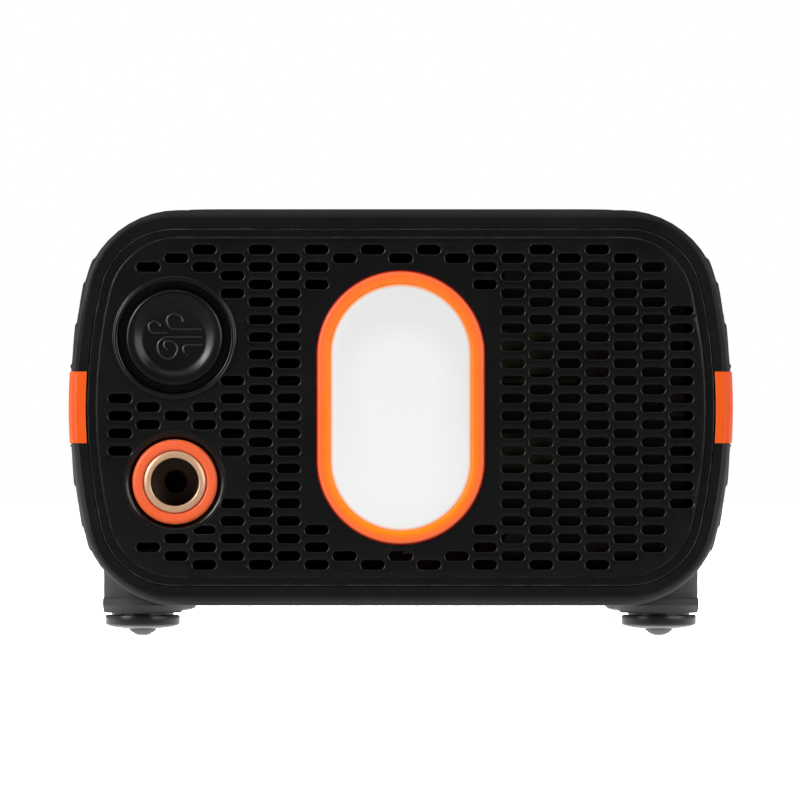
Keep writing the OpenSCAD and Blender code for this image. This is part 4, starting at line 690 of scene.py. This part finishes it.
def darkenBore(material, mouthY):
    # oxide and shade build up past the polished mouth
    tree = material.node_tree
    shader = tree.nodes["Principled BSDF"]
    depth = mapRange(tree, splitPlace(tree)["Y"], mouthY + socketSizes["darkFrom"],
                     mouthY + socketSizes["darkTo"], 0.0, 1.0)
    polished = shader.inputs["Base Color"].links[0].from_socket
    colour = mixColours(tree, depth, polished, socketSizes["darkColour"])
    tree.links.new(colour, shader.inputs["Base Color"])
    dull = mapRange(tree, depth, 0.0, 1.0, 0.28, 0.5)
    tree.links.new(dull, shader.inputs["Roughness"])


def makeHoseSocket():
    s = socketSizes
    front, back = socketLow[1], socketHigh[1]
    bore, brass, airWay, lip = s["bore"], s["brassRadius"], s["airWay"], s["lip"]
    boreEnd = front + s["mouth"] + s["boreDepth"]
    flangeY = grilleFace + s["flangeAt"]
    flangeBack = flangeY + s["flangeThick"]
    barb = airWay + s["barbWall"]
    barbY = back - s["barbLength"]
    profile = [(airWay, back), (airWay, boreEnd), (bore - s["boreEdge"], boreEnd),
               (bore, boreEnd - s["boreEdgeLength"])]
    profile += [(bore + cutDepth, front + at) for cutDepth, at in s["groove"]]
    profile += [(bore, front + lip)] + arc((bore + lip, front + lip), lip, 180, 270, 5)
    profile += [(brass - s["noseFlat"], front), (brass - s["noseEdge"], front + s["noseDrop"]),
                (brass, front + s["noseLength"]), (brass, flangeY), (s["flange"], flangeY),
                (s["flange"], flangeBack), (barb, flangeBack), (barb, barbY),
                (barb + s["barbStep"], barbY), (barb - s["barbTaper"], back), (airWay, back)]
    socket = lathe("brassSocket", profile, socketAt, steps=128)
    smooth(socket, 30)
    darkenBore(brassTurned, front)
    finishPiece(socket, "brassSocket", "case", brassTurned)
    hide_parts("hose_socket")


sleeveSizes = {"gap": 0.05 * mm, "innerRound": 0.9 * mm, "outerRound": 1.1 * mm}


def makeSleeve():
    s = sleeveSizes
    low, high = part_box("release_sleeve")
    outer = (high[0] - low[0]) / 2
    inner = socketSizes["brassRadius"] + s["gap"]
    front, back = low[1], high[1]
    profile = [(inner, back), (inner, front + s["innerRound"])]
    profile += arc((inner + s["innerRound"], front + s["innerRound"]), s["innerRound"], 180, 270, 6)
    profile += arc((outer - s["outerRound"], front + s["outerRound"]), s["outerRound"], 270, 360, 8)
    profile += [(outer, back), (inner, back)]
    sleeve = lathe("releaseSleeve", profile, socketAt, steps=128)
    smooth(sleeve, 40)
    finishPiece(sleeve, "releaseSleeve", "release_sleeve", orangeGloss)
    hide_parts("release_sleeve")


cupSizes = {"sleeveWall": 2.8 * mm, "air": 0.6 * mm, "tubeStep": 0.35 * mm, "floor": 2 * mm,
            "lip": 1.7 * mm, "lipEdge": 0.3 * mm, "rim": 0.15 * mm}


def makeSocketCup():
    s = cupSizes
    low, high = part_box("socket_cup")
    outer = (high[0] - low[0]) / 2
    front, back = low[1], high[1]
    bore = socketSizes["brassRadius"] + sleeveSizes["gap"]
    cup = bore + s["sleeveWall"] + s["air"]
    wall = outer - s["tubeStep"]
    floorY = back - s["floor"]
    lip = outer - s["lipEdge"]
    rimY = front + s["rim"]
    profile = [(cup, floorY), (cup, front + s["lip"])]
    profile += arc((lip, front + s["lip"]), lip - cup, 180, 262, 6)
    profile += [(outer - s["rim"], front), (outer, rimY), (wall, rimY), (wall, back), (bore, back),
                (bore, floorY), (cup, floorY)]
    ring = lathe("socketCupRing", profile, socketAt, steps=128)
    smooth(ring, 40)
    finishPiece(ring, "socketCupRing", "case", wellBlack)
    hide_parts("socket_cup")


makeHoseSocket()
makeSleeve()
makeSocketCup()
print("hose socket ready")

# lamp

lampLow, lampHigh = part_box("lamp_bezel")
lampMiddle = (lampLow[2] + lampHigh[2]) / 2
ringSizes = {
    "border": 3.3 * mm, "tubeStep": 0.6 * mm, "flare": 0.05 * mm, "lift": 0.1 * mm,
    "flank": 0.45 * mm, "flankDrop": 0.4 * mm, "pocket": 3 * mm,
    # the ring's rounded face from its flank to the lens, in mm: how far in and how far up
    "faceSteps": ((0.03, 0.16), (0.06, 0.12), (0.1, 0.08), (0.16, 0.04), (1.98, 0), (0.24, -0.04),
                  (0.17, -0.08), (0.12, -0.14), (0.04, -0.2)),
}


def makeLampBezel():
    s = ringSizes
    width, height = lampHigh[0] - lampLow[0], lampHigh[2] - lampLow[2]
    front, back = lampLow[1], lampHigh[1]
    bezel = pillFace("lampBezelRing", width + 2 * s["flare"], height + 2 * s["flare"],
                     grilleFace, lampMiddle)
    pickFaces(bezel, lambda centre, normal: True)
    extrude(y=-s["lift"])
    rise = grilleFace - front - s["lift"]
    bpy.ops.mesh.inset(thickness=s["flank"], depth=rise - s["flankDrop"])
    for across, up in s["faceSteps"]:
        bpy.ops.mesh.inset(thickness=across * mm, depth=up * mm)
    extrude(y=s["pocket"])
    objectMode()
    # its open back is filled and drawn out as the plug that stands in the grille
    pickOpenEdges(bezel)
    bpy.ops.mesh.edge_face_add()
    objectMode()
    pickFaces(bezel, lambda centre, normal: abs(centre.y - grilleFace) < near)
    bpy.ops.mesh.normals_make_consistent(inside=False)
    bpy.ops.mesh.inset(thickness=s["tubeStep"] + s["flare"], depth=0)
    extrude(y=back - grilleFace)
    objectMode()
    tidyMesh(bezel)
    smooth(bezel, 50)
    finishPiece(bezel, "lampBezelRing", "case", bezelGlow())
    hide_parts("lamp_bezel")


# reaches and colours of the ring's painted glow, painted highlight and painted shade
ringGlow = {"warmFrom": 0.2 * mm, "warmTo": 2.1 * mm, "below": 30 * mm, "above": 20 * mm,
            "sheenFrom": 1.4 * mm, "sheenTo": 0.4 * mm, "flankShadeFrom": 0.34 * mm, "flankShadeTo": 0.24 * mm,
            "warmColour": (1.0, 0.29, 0.004), "sheenColour": (1.0, 0.18, 0.07),
            "flankShadeColour": (0.4, 0.012, 0.003), "strength": 0.12}


def bezelGlow():
    # painted light: the ring takes some of the lamp's light, warm at the lens and stronger lower down;
    # paler outside as a painted highlight; deep red on its flank as painted shade
    s = ringGlow
    material = coloured("bezelOrange", colour=(1.0, 0.158, 0.026), colourShift=(1.0, 0.17, 0.034),
                        rough=(0.24, 0.3), grain=0.1)
    tree = material.node_tree
    shader = tree.nodes["Principled BSDF"]
    width, height = lampHigh[0] - lampLow[0], lampHigh[2] - lampLow[2]
    ringEdge = width / 2
    lensEdge = ringEdge - ringSizes["border"]
    out, place = pillDistance(tree, lampMiddle, (height - width) / 2)
    warm = mapRange(tree, out, lensEdge + s["warmFrom"], lensEdge + s["warmTo"], 1.0, 0.0)
    # the painted glow is stronger lower down
    strongerBelow = mapRange(tree, place["Z"], lampMiddle - s["below"], lampMiddle + s["above"], 1.0, 0.4)
    # painted highlight on the ring's outer rounding
    pale = mapRange(tree, out, ringEdge - s["sheenFrom"], ringEdge - s["sheenTo"], 0.0, 1.0)
    # painted shade on the ring's flank
    flank = mapRange(tree, out, ringEdge - s["flankShadeFrom"], ringEdge - s["flankShadeTo"], 0.0, 1.0)
    body = shader.inputs["Base Color"].links[0].from_socket
    body = mixColours(tree, multiply(tree, warm, strongerBelow), body, s["warmColour"])
    body = mixColours(tree, pale, body, s["sheenColour"])
    body = mixColours(tree, flank, body, s["flankShadeColour"])
    tree.links.new(body, shader.inputs["Base Color"])
    tree.links.new(body, shader.inputs["Emission Color"])
    shader.inputs["Emission Strength"].default_value = s["strength"]
    return material


# colours and reaches of the lens's painted glow
lensGlow = {"pillDrop": 4 * mm, "pillShort": 2 * mm, "pillFrom": 8 * mm, "pillTo": 15.5 * mm,
            "fade": 30 * mm, "topColour": (0.79, 0.795, 0.79), "bottomColour": (0.96, 0.97, 0.955),
            "pillColour": (0.99, 0.99, 0.99), "cloudColour": (0.88, 0.9, 0.92),
            "edgeFrom": 1.0 * mm, "edgeTo": 0.1 * mm, "edgeColour": (1.0, 0.32, 0.06),
            "body": (0.26, 0.26, 0.26), "edgeBody": (0.3, 0.1, 0.02), "strength": 0.68}


def lensFinish():
    # painted light: a glow as if softly lit from behind, brighter towards the bottom, with a paler pill
    # in the middle and a warm line at the edge where the orange ring's light falls
    s = lensGlow
    material, tree, shader = startFinish("lensMilk")
    width, height = lampHigh[0] - lampLow[0], lampHigh[2] - lampLow[2]
    straight = (height - width) / 2
    out, place = pillDistance(tree, lampMiddle - s["pillDrop"], straight - s["pillShort"])
    edge = pillDistance(tree, lampMiddle, straight)[0]
    clouds = objectNoise(tree, 40.0, detail=1.0)
    low, high = lampMiddle - s["fade"], lampMiddle + s["fade"]
    # painted light: the glow is brighter towards the bottom
    fade = mapRange(tree, place["Z"], low, high, 0.0, 1.0)
    body = mixColours(tree, fade, s["bottomColour"], s["topColour"])
    inner = mapRange(tree, out, s["pillFrom"], s["pillTo"], 1.0, 0.0)
    pale = mixColours(tree, multiply(tree, inner, 0.75), body, s["pillColour"])
    tint = mixColours(tree, multiply(tree, clouds.outputs["Fac"], 0.08), pale, s["cloudColour"])
    lensEdge = width / 2 - ringSizes["border"]
    # painted light: the orange ring's light along the lens's edge
    warm = mapRange(tree, edge, lensEdge - s["edgeFrom"], lensEdge - s["edgeTo"], 0.0, 1.0)
    glow = mixColours(tree, warm, tint, s["edgeColour"])
    tree.links.new(glow, shader.inputs["Emission Color"])
    colour = mixColours(tree, warm, s["body"], s["edgeBody"])
    tree.links.new(colour, shader.inputs["Base Color"])
    rough = mapRange(tree, clouds.outputs["Fac"], 0.3, 0.7, 0.42, 0.5)
    tree.links.new(rough, shader.inputs["Roughness"])
    addBump(tree, shader, objectNoise(tree, 3000.0, detail=1.0), 0.05, 0.02 * mm)
    shader.inputs["Specular IOR Level"].default_value = 0.2
    shader.inputs["Emission Strength"].default_value = s["strength"]
    return material


lensSizes = {"gap": 0.15 * mm, "crown": 0.7 * mm, "seat": 1.8 * mm, "shoulder": 0.5 * mm,
             "domeSteps": 9, "domeReach": 0.34}


def makeLens():
    s = lensSizes
    low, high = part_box("lamp_lens")
    width, height = high[0] - low[0], high[2] - low[2]
    front, back = low[1], high[1]
    seat = back - s["seat"]
    lensWidth = lampHigh[0] - lampLow[0] - 2 * ringSizes["border"] - 2 * s["gap"]
    lens = pillFace("lampLensDome", width, height, back, lampMiddle, points=96)
    pickFaces(lens, lambda centre, normal: True)
    extrude(y=seat - back)
    bpy.ops.mesh.inset(thickness=(width - lensWidth) / 2, depth=0)
    shoulder = front + s["crown"] + s["shoulder"]
    extrude(y=shoulder - seat)
    steps = s["domeSteps"]
    reach = lensWidth * s["domeReach"]
    for i in range(steps):  # wider and flatter steps towards the middle
        t0, t1 = i / steps, (i + 1) / steps
        bulge = (1 - (1 - t1) ** 3) - (1 - (1 - t0) ** 3)
        bpy.ops.mesh.inset(thickness=reach / steps * (0.35 + 1.3 * t0), depth=(shoulder - front) * bulge)
    objectMode()
    tidyMesh(lens)
    smooth(lens, 60)
    finishPiece(lens, "lampLensDome", "case", lensFinish())
    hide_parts("lamp_lens")


makeLampBezel()
makeLens()
print("lamp ready")

# deck, keys and handle

refine("top_deck", "case", deckDark, width=0.25 * mm)
refine("key_power", "key_power", orangePlastic, width=0.3 * mm, segments=3)
for keyName in ("key_light", "key_mode", "key_plus", "key_minus"):
    refine(keyName, keyName, keyDark, width=0.3 * mm, segments=3)
refine("handle", "handle", deckDark, width=0.8 * mm, segments=3)
refine("handle_grip", "handle", gripBlack, width=0.1 * mm)
print("deck ready")

# feet

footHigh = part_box("feet")[1]
footSizes = {
    "disc": 9.4 * mm, "discTop": 5.1 * mm, "rimRound": 0.25 * mm, "underside": 1.5 * mm,
    "bulge": 1.5 * mm, "bowlFrom": 22, "bowlTo": 90, "bowlSteps": 8, "neck": 7.8 * mm, "top": 5.7 * mm,
    "spigot": 3.95 * mm, "spigotTop": 7.1 * mm, "bore": 1.7 * mm,
}
footPlace = (footHigh[0] - footSizes["disc"], footHigh[1] - footSizes["disc"])


def putAtCorners(piece):  # three more of the same, then all four as one piece
    farX, farY = (-2 * value for value in footPlace)
    copies = [piece]
    for stepX, stepY in ((0, farY), (farX, 0), (farX, farY)):
        pick(piece)
        bpy.ops.object.duplicate()
        slide(stepX, stepY)
        copies.append(bpy.context.object)
        settle(copies[-1])
    deselectAll()
    for copy in copies:
        copy.select_set(True)
    bpy.context.view_layer.objects.active = piece
    bpy.ops.object.join()


def makeFeet():
    s = footSizes
    under = []
    for i in range(s["bowlSteps"] + 1):  # a flattened bowl from the screw's head out to the rim
        angle = math.radians(s["bowlFrom"] + (s["bowlTo"] - s["bowlFrom"]) * i / s["bowlSteps"])
        under.append((s["disc"] * math.sin(angle), s["underside"] + s["bulge"] * (1 - math.cos(angle))))
    profile = [(s["bore"], under[0][1])] + under
    profile += arc((s["disc"] - s["rimRound"], s["discTop"] - s["rimRound"]), s["rimRound"], 0, 90, 4)
    profile += [(s["neck"], s["discTop"]), (s["neck"], s["top"]), (s["spigot"], s["top"]),
                (s["spigot"], s["spigotTop"]), (s["bore"], s["spigotTop"]), (s["bore"], under[0][1])]
    feet = lathe("footDiscs", profile, footPlace, steps=72, upright=True)
    smooth(feet, 40)
    putAtCorners(feet)
    finishPiece(feet, "footDiscs", "case", footBlack)
    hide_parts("feet")


screwSizes = {"dome": 3.6 * mm, "domeHigh": 1.62 * mm, "flat": 0.9 * mm, "shank": 1.6 * mm,
              "shankTop": 16.6 * mm}


def makeFootScrews():
    s = screwSizes
    radius = (s["dome"] ** 2 + s["domeHigh"] ** 2) / (2 * s["domeHigh"])
    first = math.degrees(math.asin(s["flat"] / radius))
    last = math.degrees(math.asin(s["dome"] / radius))
    profile = [(0, 0)] + arc((0, radius), radius, first - 90, last - 90, 9)
    lift = profile[1][1]
    profile = [(r, max(0, z - lift)) for r, z in profile]
    profile += [(s["shank"], profile[-1][1]), (s["shank"], s["shankTop"]), (0, s["shankTop"])]
    screws = lathe("footScrewHeads", profile, footPlace, steps=48, upright=True)
    smooth(screws, 40)
    putAtCorners(screws)
    finishPiece(screws, "footScrewHeads", "case", screwBlack)
    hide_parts("foot_screws")


makeFeet()
makeFootScrews()
print("feet ready")

# rear ports

refine("jump_socket", "case", holderBlack, width=0.2 * mm)
refine("jump_cover", "jump_cover", orangePlastic, width=0.4 * mm, segments=3)
refine("port_block", "case", holderBlack, width=0.15 * mm)
refine("port_cover", "port_cover", deckDark, width=0.4 * mm, segments=3)
print("rear ready")

# stage

stageSizes = {"floor": 6.0, "camera": (-0.0002, -2.5179, 0.0593), "lens": 432.0, "aim": (0, 0, 0.06),
              "roomDark": 0.03, "roomLight": 0.18, "roomFrom": -0.95, "roomTo": 0.1,
              "tableGlow": 1.3, "glowFrom": -0.117, "glowTo": -0.1}
softboxes = {
    "topSoftbox": {"place": (0, 0.1, 1.5), "size": (1.2, 1.2), "power": 1.1},
    "frontTopSoftbox": {"place": (0, -0.9, 1.35), "size": (1.4, 0.4), "power": 1.6},
    "leftSoftbox": {"place": (-1.2, -0.95, 0.6), "size": (0.85, 1.2), "power": 11},
    "leftSpot": {"place": (-1.25, -1.0, 0.76), "size": (0.4, 0.5), "power": 8},
    "rightSoftbox": {"place": (1.25, -0.95, 0.4), "size": (1.5, 0.95), "power": 12},
    "leftRim": {"place": (-1.2, 0.35, 0.6), "size": (0.5, 0.9), "power": 1.6},
    "rightRim": {"place": (1.2, 0.35, 0.6), "size": (0.5, 0.9), "power": 1.3},
}


def makeFloor():
    # the camera sees the floor's lit parts as white, so that only the pack's shadow shows
    s = stageSizes
    deselectAll()
    bpy.ops.mesh.primitive_plane_add(size=s["floor"], location=(0, 0, 0))
    floor = bpy.context.object
    floor.name = "studioFloor"
    material, tree, shader = startFinish("paleFloor")
    path = addNode(tree, "ShaderNodeLightPath")
    below = mapRange(tree, splitPlace(tree)["Y"], s["glowFrom"], s["glowTo"], 0.0, 1.0)
    unseen = mapRange(tree, path.outputs["Is Camera Ray"], 0.0, 1.0, s["tableGlow"], 0.0)
    tree.links.new(multiply(tree, below, unseen), shader.inputs["Emission Strength"])
    shader.inputs["Emission Color"].default_value = (1, 1, 1, 1)
    mirrored = mixColours(tree, path.outputs["Is Glossy Ray"], (0.8, 0.8, 0.8), (0.4, 0.4, 0.4))
    seen = mixColours(tree, path.outputs["Is Camera Ray"], mirrored, (10.0, 10.0, 10.0))
    tree.links.new(seen, shader.inputs["Base Color"])
    shader.inputs["Roughness"].default_value = 0.9
    shader.inputs["Specular IOR Level"].default_value = 0.0
    floor.data.materials.append(material)


def makeWorld():
    # white behind the pack, and dim where the room would be behind the camera
    s = stageSizes
    world = bpy.data.worlds.new("studioWorld")
    bpy.context.scene.world = world
    world.use_nodes = True
    tree = world.node_tree
    background = tree.nodes["Background"]
    direction = splitPlace(tree, "Generated")
    room = mapRange(tree, direction["Y"], s["roomFrom"], s["roomTo"], s["roomDark"], s["roomLight"])
    path = addNode(tree, "ShaderNodeLightPath")
    strength = addNode(tree, "ShaderNodeMath", operation="MAXIMUM")
    tree.links.new(path.outputs["Is Camera Ray"], strength.inputs[0])
    tree.links.new(room, strength.inputs[1])
    background.inputs["Color"].default_value = (1, 1, 1, 1)
    tree.links.new(strength.outputs[0], background.inputs["Strength"])


def addSoftbox(name, place, size, power):
    light = bpy.data.lights.new(name, "AREA")
    light.shape = "RECTANGLE"
    light.size, light.size_y = size
    light.energy = power
    lamp = bpy.data.objects.new(name, light)
    bpy.context.collection.objects.link(lamp)
    lamp.location = place
    x, y, z = [a - b for a, b in zip(stageSizes["aim"], place)]
    lamp.rotation_euler = (math.atan2(math.hypot(x, y), -z), 0, math.atan2(y, x) - math.pi / 2)


def makeCamera():
    data = bpy.data.cameras.new("viewCamera")
    data.sensor_width = 36
    data.lens = stageSizes["lens"]
    data.clip_end = 20
    camera = bpy.data.objects.new("viewCamera", data)
    bpy.context.collection.objects.link(camera)
    camera.location = stageSizes["camera"]
    camera.rotation_euler = (math.pi / 2, 0, 0)
    bpy.context.scene.camera = camera


makeFloor()
makeWorld()
for name, box in softboxes.items():
    addSoftbox(name, **box)
makeCamera()
bpy.context.scene.view_settings.view_transform = "Standard"
print("stage ready")

deselectAll()
